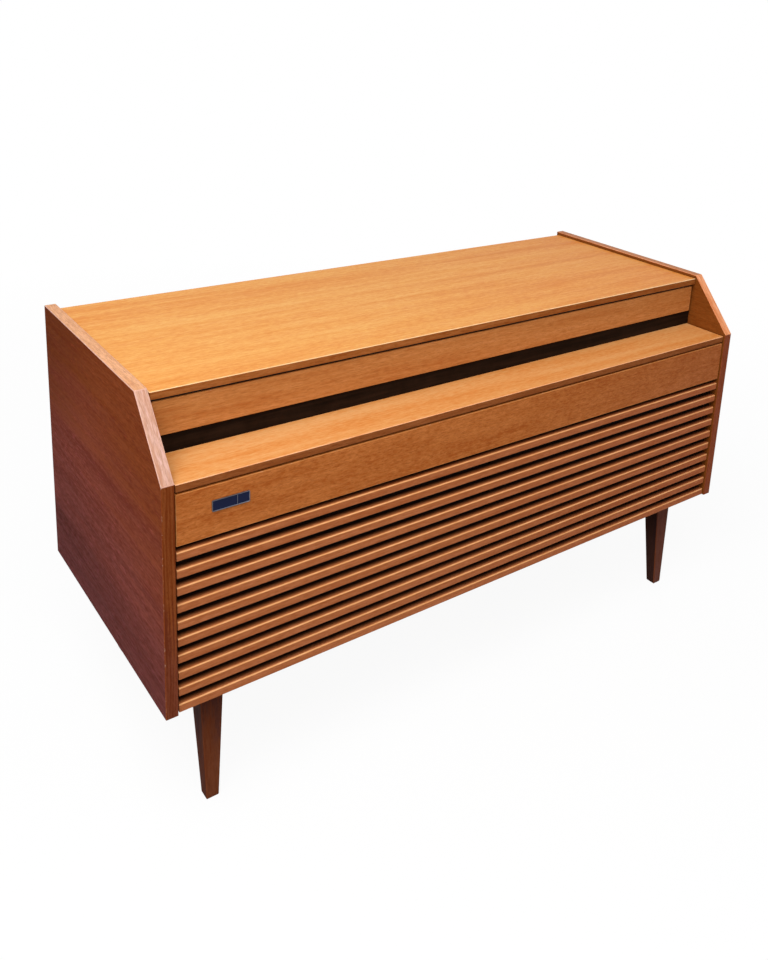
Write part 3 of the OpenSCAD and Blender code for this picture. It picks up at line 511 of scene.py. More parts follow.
def glossy_glass(name, tint):
    """Dark glass, painted on its back, with faint handling marks"""
    s = Shading(name)
    at = s.place()
    smear = s.noise(at, (22, 60, 22), 4.0, 0.65, 0.8)
    depth = s.noise(at, (6, 6, 6), 2.0)
    body = s.ramp(depth, [(0.35, shade(tint, 0.7)), (0.65, shade(tint, 1.5))])
    return s.coat(Base_Color=body, Roughness=s.level(smear, 0.35, 0.7, 0.06, 0.22),
                  Coat_Weight=0.6, Coat_Roughness=0.04)


def wood_finishes(c):
    """Maker, tint and settings of each wood, from the colours in the sidebar"""
    side = dict(grain="y", contrast=1.9, fleck=0.36, leaf=0.137, rough=0.60, shine=0.03,
                pale_fleck=0.42, curl=0.35, cloud=0.06, drawn=0.30)
    slat_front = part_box("slat_1")[0].y
    return {
        "lid_veneer": (wood, c.lid, dict(
            tones=GOLDEN_TONES, contrast=1.5, leaf=0.121, fleck=0.34, rough=0.50, shine=0.18,
            cloud=0.05, short=1.4, drawn=0.30, broad=0.42, depth=0.12,
            # Painted fall-off of light, darker towards the right
            tan=(0.15, 0.75, (1.02, 0.90, 0.80)))),
        "lid_edging": (wood, shade(c.lid, 0.34, 1.38, 1.05), dict(
            shift=(0.3, 0.2, 0.1), contrast=1.6, shine=0.04)),
        "lid_lining": (wood, shade(c.lid, 0.55, 0.95, 1.6), dict(leaf=0.17, rough=0.6)),
        # A painted highlight along the lid's top arris, with wear chips
        "pale_arris": (wood, shade(c.lid, 2.1, 0.66, 2.5), dict(
            fleck=0.15, wear=0.2, rough=0.40, shine=0.2)),
        "strip_veneer": (wood, c.strip, dict(shift=(0.2, 0.9, 0.45), curl=1.0, shine=0.10)),
        # A painted highlight along the strip's and fascia's arrises, with wear chips
        "brown_arris": (wood, shade(c.strip, 1.1), dict(shift=(0.5, 0.1, 0.2), wear=0.2)),
        "ledge_veneer": (wood, c.ledge, dict(
            tones=GOLDEN_TONES, contrast=1.4, shift=(0.7, 0.31, 0.2), fleck=0.26, shine=0.16,
            cloud=0.06, short=1.2, drawn=0.32, broad=0.40, depth=0.15)),
        "ledge_edging": (wood, shade(c.ledge, 0.27, 1.46, 0.85), dict(
            shift=(0.1, 0.5, 0.3), contrast=1.2, shine=0.04)),
        # A painted highlight along the ledge's top arris, with wear chips
        "ledge_arris": (wood, shade(c.ledge, 1.45, 0.9, 1.6), dict(
            fleck=0.15, wear=0.3, rough=0.40, shine=0.2)),
        "fascia_veneer": (wood, c.fascia, dict(
            shift=(0.9, 0.4, 0.83), curl=1.5, fleck=0.50, shine=0.06, short=1.7, contrast=1.45,
            # Painted fall-off of light, darker towards the right
            drawn=0.35, tan=(0.2, 0.8, (0.88, 0.84, 1.05)))),
        # Painted light and shade on the outer face: darker and bluer towards the bottom, browner
        # at the back top
        "side_veneer": (wood, c.side, dict(
            side, shift=(0.4, 0.2, 0.62), painted_light_washes=((0.57, 0.36, 0.3, (1.06, 1.14, 3.6)),
                                                 (0.403, 0.176, 0.15, (0.50, 0.54, 0.78)),
                                                 (0.56, 0.72, -1.0, (0.74, 0.70, 0.40))))),
        # The right panel's copy, with its own painted shade, darker and bluer towards the bottom
        "far_side_veneer": (wood, c.side, dict(
            side, shift=(0.7, 0.5, 0.12), painted_light_washes=((0.57, 0.30, 0.3, (0.96, 1.12, 1.4)),
                                                 (0.403, 0.176, 0.15, (0.68, 0.70, 0.74))))),
        "inner_veneer": (wood, c.inner, dict(
            grain="y", shift=(0.8, 0.6, 0.3), leaf=0.137, shine=0.05)),
        "top_edging": (wood, c.top_edge, dict(
            grain="y", shift=(0.1, 0.7, 0.9), fleck=0.6, contrast=1.6, rough=0.40, shine=0.4)),
        # Its pale pink colour is a painted sheen
        "slope_edging": (wood, c.slope_edge, dict(
            grain="slope", shift=(0.6, 0.3, 0.2), fleck=0.60, contrast=1.6, rough=0.36,
            shine=0.55)),
        # Copies for the right panel, with their own painted light and shade
        "far_top_edging": (wood, c.far_edge, dict(
            grain="y", shift=(0.4, 0.2, 0.9), fleck=0.5, contrast=1.3, shine=0.1)),
        "far_slope_edging": (wood, shade(c.far_edge, 1.95, 0.90, 1.35), dict(
            grain="slope", shift=(0.2, 0.6, 0.5), contrast=1.2, shine=0.1)),
        "front_edging": (wood, c.front_edge, dict(
            grain="z", shift=(0.3, 0.3, 0.3), fleck=0.5, contrast=2.5, curl=4.5, shine=0.04,
            rings=0.05, short=2.0, cloud=0.20, broad=0.42,
            # Painted shade, darker and bluer towards the bottom
            painted_light_washes=((0.345, 0.30, 0.0, (0.82, 0.80, 1.5)),))),
        # Lighter copy for the right panel: painted light
        "far_front_edging": (wood, shade(c.front_edge, 1.25, 1.0, 1.85), dict(
            grain="z", shift=(0.7, 0.1, 0.3), fleck=0.5, contrast=1.5, curl=1.2, shine=0.04)),
        "back_edging": (wood, shade(c.front_edge, 0.9), dict(
            grain="z", shift=(0.5, 0.9, 0.1), shine=0.05)),
        "panel_arris": (wood, shade(c.front_edge, 1.3), dict(grain="z", wear=0.45, shine=0.08)),
        # A painted highlight along the slope's inner arris, with wear chips
        "slope_arris": (wood, shade(c.slope_edge, 1.2, 1.0, 1.05), dict(
            grain="slope", wear=0.5, shine=0.4)),
        "slat_teak": (wood, c.slat, dict(
            fleck=0.35, shift=(0.15, 0.6, 0.35), rough=0.45, shine=0.10,
            # Painted shade: the slat's top goes black behind its nose
            recess=(slat_front + 0.002, slat_front + 0.010),
            # Painted fall-off of light, darker towards the right
            tan=(0.1, 0.75, (0.96, 0.86, 0.88)))),
        # A painted highlight along the slats' rounded nose
        "slat_arris": (wood, shade(c.slat, 2.5, 0.66, 1.1), dict(
            fleck=0.2, shift=(0.4, 0.2, 0.6), rough=0.34, shine=0.35)),
        # Painted shade near the cabinet; the side woods are shaded copies, the right legs' lit
        # copies
        "leg_wood": (leg_wood, c.leg, dict(shift=0.2, painted_shade=(0.48, 0.50, 0.85))),
        "leg_side_wood": (leg_wood, shade(c.leg, 0.60, 1.12, 1.17), dict(
            shift=0.5, painted_shade=(0.48, 0.50, 0.85))),
        "far_leg_wood": (leg_wood, shade(c.leg, 1.15, 0.80, 1.7), dict(
            shift=0.9, painted_shade=(0.90, 0.82, 0.80))),
        "far_leg_side_wood": (leg_wood, shade(c.leg, 0.50, 0.68, 2.0), dict(
            shift=0.7, painted_shade=(0.60, 0.55, 0.65))),
        "leg_arris": (leg_wood, shade(c.leg, 1.1), dict(shift=0.2, painted_shade=(0.6, 0.6, 0.85))),
        "rail_wood": (wood, (0.20, 0.085, 0.04), dict(fleck=0.4, rough=0.6)),
        "plywood": (ply, (0.52, 0.32, 0.16), {}),
        "stained_ply": (ply, (0.12, 0.055, 0.03), {}),
        "hardboard": (pressed_board, (0.25, 0.130, 0.060), {}),
        "black_paint": (painted_wood, c.black, {}),
        "slot_shadow": (painted_wood, (0.012, 0.011, 0.010), {}),
    }


def metal_finishes(c):
    """Maker, tint and settings of each metal, from the colours in the sidebar"""
    platter = axis_of("platter_spin")
    rim = Vector((platter.x, platter.y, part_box("platter")[1].z - 0.006))
    caps = {name + "_cap": (spun, (0.74, 0.60, 0.34), dict(
        centre=axis_of(name + "_turn"), rings=3000.0, rough=0.26)) for name in KNOBS}
    return {
        "bright_steel": (brushed, (0.70, 0.70, 0.71), dict(rough=0.22, tarnish=0.2)),
        "trim_steel": (brushed, (0.72, 0.71, 0.69), dict(
            rough=0.24, lines=(30, 30, 30), tarnish=0.2)),
        "dull_steel": (brushed, (0.46, 0.46, 0.45), dict(rough=0.42, tarnish=0.45)),
        "chassis_steel": (brushed, (0.50, 0.51, 0.50), dict(
            rough=0.45, lines=(60, 60, 60), tarnish=0.35)),
        "plate_rim": (brushed, (0.27, 0.28, 0.33), dict(rough=0.36, tarnish=0.5)),
        "panel_gold": (brushed, c.gold, dict(rough=0.34, tarnish=0.15)),
        "brass_screw": (brushed, shade(c.brass, 1.15), dict(rough=0.26, tarnish=0.2)),
        "brass_plate": (brushed, c.brass, dict(tarnish=0.35)),
        "platter_alloy": (spun, (0.62, 0.62, 0.61), dict(centre=platter)),
        "platter_rim": (strobe_rim, (0.66, 0.66, 0.65), dict(
            centre=rim, marks=96, half_height=0.0018)),
        "spindle_steel": (spun, (0.72, 0.72, 0.73), dict(centre=platter, rings=2400.0, rough=0.2)),
        **caps,
    }


def other_finishes(c):
    """Maker, tint and settings of the enamels, plastics, cloth, rubber, paper and glass"""
    return {
        "plate_enamel": (enamelled, c.enamel, dict(rough=0.30, peel=0.3, shine=0.12)),
        "deck_enamel": (enamelled, c.cream, dict(rough=0.33, peel=0.35, hard=0.2)),
        "speaker_black": (enamelled, (0.035, 0.036, 0.040), dict(rough=0.42)),
        "motor_paint": (enamelled, (0.11, 0.12, 0.13), dict(rough=0.45)),
        "scale_print": (enamelled, (0.72, 0.62, 0.38), dict(rough=0.5)),
        "dark_print": (enamelled, (0.045, 0.035, 0.03), dict(rough=0.5)),
        "socket_plastic": (moulded, (0.022, 0.020, 0.019), dict(rough=0.32, mottle=0.25)),
        "arm_black": (moulded, (0.025, 0.024, 0.024), dict(rough=0.28, mottle=0.2)),
        "arm_ivory": (moulded, c.ivory, dict(rough=0.26)),
        "lever_ivory": (moulded, shade(c.ivory, 0.98), dict(rough=0.28)),
        "knob_ivory": (moulded, c.ivory, dict(rough=0.24, mottle=0.12)),
        "button_ivory": (moulded, shade(c.ivory, 1.03), dict(rough=0.24)),
        "pointer_red": (moulded, (0.58, 0.035, 0.02), dict(rough=0.25)),
        "speaker_cloth": (woven, (0.011, 0.008, 0.006), dict(
            thread=(0.05, 0.035, 0.02), pitch=0.0011)),
        "cone_paper": (paper_cone, (0.030, 0.026, 0.023), {}),
        "mat_rubber": (ribbed_rubber, (0.014, 0.014, 0.014), {}),
        "scale_gloss": (glossy_glass, (0.018, 0.022, 0.026), {}),
    }


def finish(name):
    """The finish of that name, made the first time it is asked for"""
    full = name + "_finish"
    made = bpy.data.materials.get(full)
    if made is None:
        c = bpy.context.scene.cabinet_colours
        maker, tint, settings = {**wood_finishes(c), **metal_finishes(c),
                                 **other_finishes(c)}[name]
        made = maker(full, tuple(tint), **settings)
    return made


def dress(node, name):
    """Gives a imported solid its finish"""
    mesh = FRAME["nodes"][node].data
    mesh.materials.clear()
    mesh.materials.append(finish(name))


# ---- shapes ----


SHARP_ANGLE = math.radians(38.0)
PRINT_RISE = 0.00006
UP, DOWN, LEFT, BACK = (0, 0, 1), (0, 0, -1), (-1, 0, 0), (0, 1, 0)


def held(bm):
    """Vertices, edges and faces that are there already"""
    return set(bm.verts), set(bm.edges), set(bm.faces)


def newest(bm, before):
    """Vertices, edges and faces made since"""
    return [[one for one in kind if one not in old]
            for kind, old in zip((bm.verts, bm.edges, bm.faces), before)]


def soften(bm, edges, width, segments=2, index=None):
    """Rounds edges over, and gives the new faces a finish of their own"""
    made = bmesh.ops.bevel(bm, geom=edges, offset=width, offset_type="OFFSET", segments=segments,
                           profile=0.5, affect="EDGES", clamp_overlap=True, material=-1)
    if index is not None:
        for face in made["faces"]:
            face.material_index = index
    return made["faces"]


def block(bm, low, high, arris=0.0, segments=2, index=0, arris_index=None, move=None):
    """A box between two corners, with softened edges, then moved by a matrix if one is given"""
    before = held(bm)
    low, high = Vector(low), Vector(high)
    fit = Matrix.Translation((low + high) / 2) @ Matrix.Diagonal((*(high - low), 1.0))
    bmesh.ops.create_cube(bm, size=1.0, matrix=fit)
    _, edges, faces = newest(bm, before)
    for face in faces:
        face.material_index = index
    if arris:
        soften(bm, edges, arris, segments, arris_index)
    made = newest(bm, before)
    if move:
        bmesh.ops.transform(bm, matrix=move, verts=made[0])
    return made


def upright_sheet(bm, low, high, y, columns, rows):
    """A flat grid that stands along X, between two corners' X and Z"""
    fit = (Matrix.Translation(((low.x + high.x) / 2, y, (low.z + high.z) / 2))
           @ Matrix.Rotation(math.pi / 2, 4, "X")
           @ Matrix.Diagonal(((high.x - low.x) / 2, (high.z - low.z) / 2, 1.0, 1.0)))
    bmesh.ops.create_grid(bm, x_segments=columns, y_segments=rows, size=1.0, matrix=fit)


def turned(bm, profile, centre, axis=(0, 0, 1), steps=64, index=0):
    """A profile of (radius, height) points spun about an axis through the centre"""
    before = held(bm)
    points = [bm.verts.new((r, 0.0, h)) for r, h in profile]
    edges = [bm.edges.new(pair) for pair in zip(points, points[1:])]
    bmesh.ops.spin(bm, geom=points + edges, cent=(0, 0, 0), axis=(0, 0, 1), angle=math.tau,
                   steps=steps, use_merge=True)
    bmesh.ops.remove_doubles(bm, verts=newest(bm, before)[0], dist=1e-6)
    verts, _, faces = newest(bm, before)
    bmesh.ops.recalc_face_normals(bm, faces=faces)
    turn = Vector((0, 0, 1)).rotation_difference(Vector(axis)).to_matrix().to_4x4()
    bmesh.ops.transform(bm, matrix=Matrix.Translation(centre) @ turn, verts=verts)
    for face in faces:
        face.material_index = index
    return verts, faces


def flute(verts, centre, low, high, flutes, depth):
    """Presses flutes into the turned wall between two heights"""
    for vert in verts:
        x, y = vert.co.x - centre[0], vert.co.y - centre[1]
        if low <= vert.co.z <= high and math.hypot(x, y) > 0.0001:
            inward = 1.0 - depth * (0.5 - 0.5 * math.cos(flutes * math.atan2(y, x)))
            vert.co.x, vert.co.y = centre[0] + x * inward, centre[1] + y * inward


def take_in(bm, data, matrix, index):
    """Adds a curve or text to the bmesh as a mesh"""
    before = held(bm)
    holder = bpy.data.objects.new("pattern", data)
    mesh = bpy.data.meshes.new_from_object(holder)
    mesh.transform(matrix)
    bm.from_mesh(mesh)
    bmesh.ops.remove_doubles(bm, verts=newest(bm, before)[0], dist=1e-6)
    bmesh.ops.dissolve_degenerate(bm, edges=newest(bm, before)[1], dist=2e-6)
    for face in newest(bm, before)[2]:
        face.material_index = index
    bpy.data.objects.remove(holder)
    bpy.data.curves.remove(data)
    bpy.data.meshes.remove(mesh)


def wire(bm, points, radius, closed=False, index=0):
    """Round wire along a line of points"""
    data = bpy.data.curves.new("pattern", "CURVE")
    data.dimensions = "3D"
    data.bevel_depth = radius
    data.bevel_resolution = 3
    data.use_fill_caps = True
    spline = data.splines.new("POLY")
    spline.points.add(len(points) - 1)
    for point, place in zip(spline.points, points):
        point.co = (*place, 1.0)
    spline.use_cyclic_u = closed
    take_in(bm, data, Matrix.Identity(4), index)


def number(bm, text, place, size, turn=0.0):
    """A plain number lying flat, centred on its place"""
    data = bpy.data.curves.new("pattern", "FONT")
    data.body = text
    data.size = size
    data.align_x = "CENTER"
    data.align_y = "CENTER"
    data.extrude = PRINT_RISE
    take_in(bm, data, Matrix.Translation(place) @ Matrix.Rotation(turn, 4, "Z"), 0)


def outward(turn):
    """The direction that points back before it is turned about an upright axis"""
    return Vector((-math.sin(turn), math.cos(turn), 0.0))


def printed_line(bm, hub, turn, near, far, wide):
    """A line on a flat top that points away from a hub"""
    block(bm, (-wide / 2, near, 0.0), (wide / 2, far, 0.0001),
          move=Matrix.Translation(hub) @ Matrix.Rotation(turn, 4, "Z"))


def rounded_path(low, high, z, radius):
    """Points round a level rectangle with rounded corners"""
    points = []
    steps = 6
    for corner, (x, y) in enumerate(((high[0] - radius, high[1] - radius),
                                     (low[0] + radius, high[1] - radius),
                                     (low[0] + radius, low[1] + radius),
                                     (high[0] - radius, low[1] + radius))):
        for step in range(steps + 1):
            angle = (corner + step / steps) * math.pi / 2
            points.append((x + radius * math.cos(angle), y + radius * math.sin(angle), z))
    return points


def screw(bm, place, axis, radius, rise, turn, index=0):
    """Slotted round head standing on a surface, with the next finish in its slot"""
    place, axis = Vector(place), Vector(axis)
    turned(bm, [(0, rise), (radius * 0.55, rise * 0.93), (radius * 0.88, rise * 0.62),
                (radius, rise * 0.25), (radius, -0.0003), (0, -0.0003)], place, axis, 14, index)
    side = axis.orthogonal().normalized()
    side.rotate(Matrix.Rotation(turn, 3, axis))
    frame = Matrix((side, axis.cross(side), axis)).transposed().to_4x4()
    block(bm, (-radius * 0.86, -radius * 0.12, -rise * 0.2), (radius * 0.86, radius * 0.12, 0.0),
          index=index + 1, move=Matrix.Translation(place + axis * (rise + 0.00002)) @ frame)


def plate_trim(bm, node, corner, thickness, inset, radius, rise, turn):
    """Wire round the top of a packed plate, and a screw in each of its corners"""
    low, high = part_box(node)
    edge = 0.005
    wire(bm, rounded_path((low.x + edge, low.y + edge), (high.x - edge, high.y - edge),
                          high.z + 0.0002, corner), thickness, True)
    for x in (low.x + inset, high.x - inset):
        for y in (low.y + inset, high.y - inset):
            screw(bm, (x, y, high.z), UP, radius, rise, turn * x)


def piece(bm, name, body, finishes, stands_for=()):
    """Makes the bmesh an object that rides on its body and holds its finishes"""
    mesh = bpy.data.meshes.new(name)
    for face in bm.faces:
        face.smooth = True
    bm.to_mesh(mesh)
    bm.free()
    mesh.set_sharp_from_angle(angle=SHARP_ANGLE)
    for one in finishes:
        mesh.materials.append(finish(one))
    made = bpy.data.objects.new(name, mesh)
    bpy.context.scene.collection.objects.link(made)
    even = made.modifiers.new("Even shading", "WEIGHTED_NORMAL")
    even.keep_sharp = True
    if stands_for:
        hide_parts(*stands_for)
    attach(made, body)
    return made


def by_normal(bm, choose):
    """Gives each face the finish that is chosen for its direction"""
    for face in bm.faces:
        face.material_index = choose(face.normal)


def largest(bm, toward):
    """The largest face that looks a given way"""
    facing = [face for face in bm.faces if face.normal.dot(Vector(toward)) > 0.9]
    return max(facing, key=lambda face: face.calc_area())


# ---- cabinet ----


# The finishes of a side panel, in the order of its material slots. REST is its back and foot.
OUTER, INNER, TOP, SLOPE, FRONT, REST, ARRIS, SLOPE_ARRIS = range(8)


def panel_finish(normal, side):
    """The finish of a side panel's face, from its direction and the panel's side"""
    if abs(normal.x) > 0.9:
        return OUTER if normal.x * side > 0 else INNER
    if normal.y < -0.9:
        return FRONT
    if normal.y < -0.4:
        return SLOPE
    return TOP if normal.z > 0.9 else REST


class CABINET_OT_side_panels(bpy.types.Operator):
    """Side panels with veneered faces and solid edging round them"""

    bl_idname = "cabinet.side_panels"
    bl_label = "Side panels"

    def execute(self, context):
        sizes = context.scene.cabinet_sizes
        self.panel(sizes, "left_side_panel", -1, [
            "side_veneer", "inner_veneer", "top_edging", "slope_edging", "front_edging",
            "back_edging", "panel_arris", "slope_arris"])
        # The right panel takes copies of veneer and edgings with their own painted light and shade
        self.panel(sizes, "right_side_panel", 1, [
            "far_side_veneer", "inner_veneer", "far_top_edging", "far_slope_edging",
            "far_front_edging", "back_edging", "panel_arris", "far_slope_edging"])
        return {"FINISHED"}

    def panel(self, sizes, node, side, finishes):
        low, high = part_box(node)
        bm = bmesh.new()
        block(bm, low, high)
        cut = bmesh.ops.bisect_plane(
            bm, geom=bm.verts[:] + bm.edges[:] + bm.faces[:],
            plane_co=(0.0, low.y, high.z - sizes.slope_drop),
            plane_no=(0.0, -sizes.slope_drop, sizes.slope_run), clear_outer=True)
        rim = [e for e in cut["geom_cut"] if isinstance(e, bmesh.types.BMEdge)]
        bmesh.ops.contextual_create(bm, geom=rim)
        bmesh.ops.recalc_face_normals(bm, faces=bm.faces[:])
        by_normal(bm, lambda normal: panel_finish(normal, side))
        outer = high.x if side > 0 else low.x
        reach = 0.002
        # The slope's arrises take a painted highlight with wear chips
        for face in soften(bm, bm.edges[:], sizes.arris, 2):
            middle = face.calc_center_median()
            if middle.z > high.z - sizes.slope_drop - reach:
                face.material_index = SLOPE_ARRIS
            else:
                face.material_index = ARRIS if abs(middle.x - outer) < reach else FRONT
        piece(bm, node + "_board", "case", finishes, [node])


class CABINET_OT_lid(bpy.types.Operator):
    """Lid board and the front strip below its edge"""

    bl_idname = "cabinet.lid"
    bl_label = "Lid"

    def execute(self, context):
        sizes = context.scene.cabinet_sizes
        low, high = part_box("lid_board")
        bm = bmesh.new()
        block(bm, low, high)
        by_normal(bm, lambda n: 0 if n.z > 0.9 else 2 if n.z < -0.9 else 1)
        pale_top(bm, high.z, sizes.arris, 3)
        piece(bm, "lid_top", "lid",
              ["lid_veneer", "lid_edging", "lid_lining", "pale_arris"], ["lid_board"])
        low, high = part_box("lid_strip")
        bm = bmesh.new()
        grooved_board(bm, low, high, 1.4 * sizes.groove, sizes.groove, sizes.arris)
        piece(bm, "lid_front_strip", "lid",
              ["strip_veneer", "brown_arris", "slot_shadow"], ["lid_strip"])
        return {"FINISHED"}


def pale_top(bm, top, arris, index):
    """Softens a board's edges, and gives those round its top a finish of their own: a painted
    highlight with wear chips
    """
    for face in soften(bm, bm.edges[:], arris, 2):
        face.material_index = index if face.calc_center_median().z > top - arris else 1


def grooved_board(bm, low, high, groove, depth, arris):
    """A board with a shadow groove along the top of its front face"""
    overlap = 0.0004
    block(bm, low, (high.x, high.y, high.z - groove), arris, 2, 0, 1)
    block(bm, (low.x, low.y + depth, high.z - groove - overlap), high, index=2)


class CABINET_OT_ledge(bpy.types.Operator):
    """Ledge board, fascia and the bare plate on it"""

    bl_idname = "cabinet.ledge"
    bl_label = "Ledge and fascia"

    def execute(self, context):
        sizes = context.scene.cabinet_sizes
        low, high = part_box("ledge_board")
        bm = bmesh.new()
        block(bm, low, high)
        by_normal(bm, lambda n: 0 if n.z > 0.9 else 1)
        pale_top(bm, high.z, sizes.arris, 2)
        piece(bm, "ledge_top", "case",
              ["ledge_veneer", "ledge_edging", "ledge_arris"], ["ledge_board"])
        low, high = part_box("front_fascia")
        bm = bmesh.new()
        grooved_board(bm, low, high, sizes.groove, 2 * sizes.groove, sizes.arris)
        piece(bm, "fascia", "case",
              ["fascia_veneer", "brown_arris", "slot_shadow"], ["front_fascia"])
        self.plate(sizes)
        return {"FINISHED"}

    def plate(self, sizes):
        low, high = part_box("nameplate")
        bm = bmesh.new()
        block(bm, low, high)
        corners = [e for e in bm.edges if abs(e.verts[0].co.y - e.verts[1].co.y) > 0.0005]
        soften(bm, corners, 0.0012, 3)
        field = largest(bm, (0, -1, 0))
        bmesh.ops.inset_region(bm, faces=[field], thickness=sizes.plate_rim, depth=0.0)
        bmesh.ops.inset_region(bm, faces=[field], thickness=0.00025, depth=-0.0005)
        for face in bm.faces:
            face.material_index = 0 if face == field else 1
        parting = low.x + 0.66 * (high.x - low.x)
        block(bm, (parting, low.y + 0.0001, low.z + 2 * sizes.plate_rim),
              (parting + 0.0006, low.y + 0.0008, high.z - 2 * sizes.plate_rim), index=1)
        piece(bm, "bare_plate", "case", ["plate_enamel", "plate_rim"],
              ["nameplate"])


class CABINET_OT_slats(bpy.types.Operator):
    """Ten slats, each with its rounded top front edge"""

    bl_idname = "cabinet.slats"
    bl_label = "Slats"

    def execute(self, context):
        sizes = context.scene.cabinet_sizes
        for node in sorted(n for n in FRAME["nodes"] if n.startswith("slat_")):
            low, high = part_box(node)
            bm = bmesh.new()
            block(bm, low, high)
            nose = [e for e in bm.edges
                    if all(abs(v.co.y - low.y) < 1e-5 and abs(v.co.z - high.z) < 1e-5
                           for v in e.verts)]
            # The nose's faces that look up and forward take a painted highlight
            for face in soften(bm, nose, sizes.slat_round, 6):
                face.normal_update()
                face.material_index = 1 if 0.15 < face.normal.z < 0.8 else 0
            others = [e for e in bm.edges if e.calc_face_angle(0.0) > 0.9]
            soften(bm, others, sizes.slat_arris, 2)
            piece(bm, node + "_board", "case", ["slat_teak", "slat_arris"], [node])
        return {"FINISHED"}


class CABINET_OT_legs(bpy.types.Operator):
    """Four square legs that taper and rake towards the floor"""

    bl_idname = "cabinet.legs"
    bl_label = "Legs"

    def execute(self, context):
        sizes = context.scene.cabinet_sizes
        for node in ("front_left_leg", "front_right_leg", "rear_left_leg", "rear_right_leg"):
            head_low, head_high = slice_box(node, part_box("bottom_board")[0].z)
            foot_low, foot_high = slice_box(node, 0.0)
            bm = bmesh.new()
            block(bm, (head_low.x, head_low.y, 0.0), head_high)
            foot = [v for v in bm.verts if v.co.z < 0.001]
            middle = (head_low + head_high) / 2
            share = (foot_high.x - foot_low.x) / (head_high.x - head_low.x)
            bmesh.ops.scale(bm, vec=(share, share, 1.0), verts=foot,
                            space=Matrix.Translation(-middle))
            shift = (foot_low + foot_high) / 2 - middle
            bmesh.ops.translate(bm, vec=(shift.x, shift.y, 0.0), verts=foot)
            # Faces towards -X take the copy of the wood with painted shade
            by_normal(bm, lambda normal: 1 if normal.x < -0.7 else 0)
            soften(bm, bm.edges[:], sizes.leg_arris, 3, 2)
            # The right legs take copies of the wood with their own painted light and shade
            where = "far_leg" if node.endswith("right_leg") else "leg"
            piece(bm, node + "_taper", "case",
                  [where + "_wood", where + "_side_wood", "leg_arris"], [node])
        return {"FINISHED"}


def slice_box(node, height):
    """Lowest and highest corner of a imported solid's points at one height"""
    solid = FRAME["nodes"][node]
    level = [p for p in (solid.matrix_world @ v.co for v in solid.data.vertices)
             if abs(p.z - height) < 0.0002]
    return (Vector(min(p[k] for p in level) for k in range(3)),
            Vector(max(p[k] for p in level) for k in range(3)))


class CABINET_OT_carcass(bpy.types.Operator):
    """Finishes of the boards inside, and the stretched loudspeaker cloth"""

    bl_idname = "cabinet.carcass"
    bl_label = "Carcass and cloth"

    def execute(self, context):
        for node, name in (("bottom_board", "plywood"), ("deck_board", "stained_ply"),
                           ("recess_rail", "black_paint"), ("rear_rail", "rail_wood"),
                           ("grille_frame", "black_paint"), ("left_baffle", "plywood"),
                           ("right_baffle", "plywood")):
            dress(node, name)
        self.screws()
        self.cloth()
        return {"FINISHED"}

    def screws(self):
        """Two rows of flat heads under the bottom board, and two at each end"""
        low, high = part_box("bottom_board")
        inset, end, row = 0.012, 0.02, 8
        radius, rise = 0.0036, 0.0004
        bm = bmesh.new()
        for step in range(row):
            for y in (low.y + inset, high.y - inset):
                x = (low.x + end) + step * (high.x - low.x - 2 * end) / (row - 1)
                screw(bm, (x, y, low.z), DOWN, radius, rise, step * 0.9 + 40 * y)
        for y in (-0.06, 0.06):
            for x in (low.x + inset, high.x - inset):
                screw(bm, (x, y, low.z), DOWN, radius, rise, 30 * y)
        piece(bm, "bottom_screws", "case", ["dull_steel", "slot_shadow"])

    def cloth(self):
        """Cloth stretched on its frame, with very slight pulls in it"""
        low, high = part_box("speaker_cloth")
        bm = bmesh.new()
        upright_sheet(bm, low, high, (low.y + high.y) / 2, 96, 28)
        for vert in bm.verts:
            vert.co.y += 0.00012 * math.sin(41.0 * vert.co.x) * math.sin(23.0 * vert.co.z)
        cloth = piece(bm, "stretched_cloth", "case", ["speaker_cloth"],
                      ["speaker_cloth"])
        cloth.modifiers.clear()
        thick = cloth.modifiers.new("Thickness", "SOLIDIFY")
        thick.thickness = 0.0006
        thick.offset = 0.0


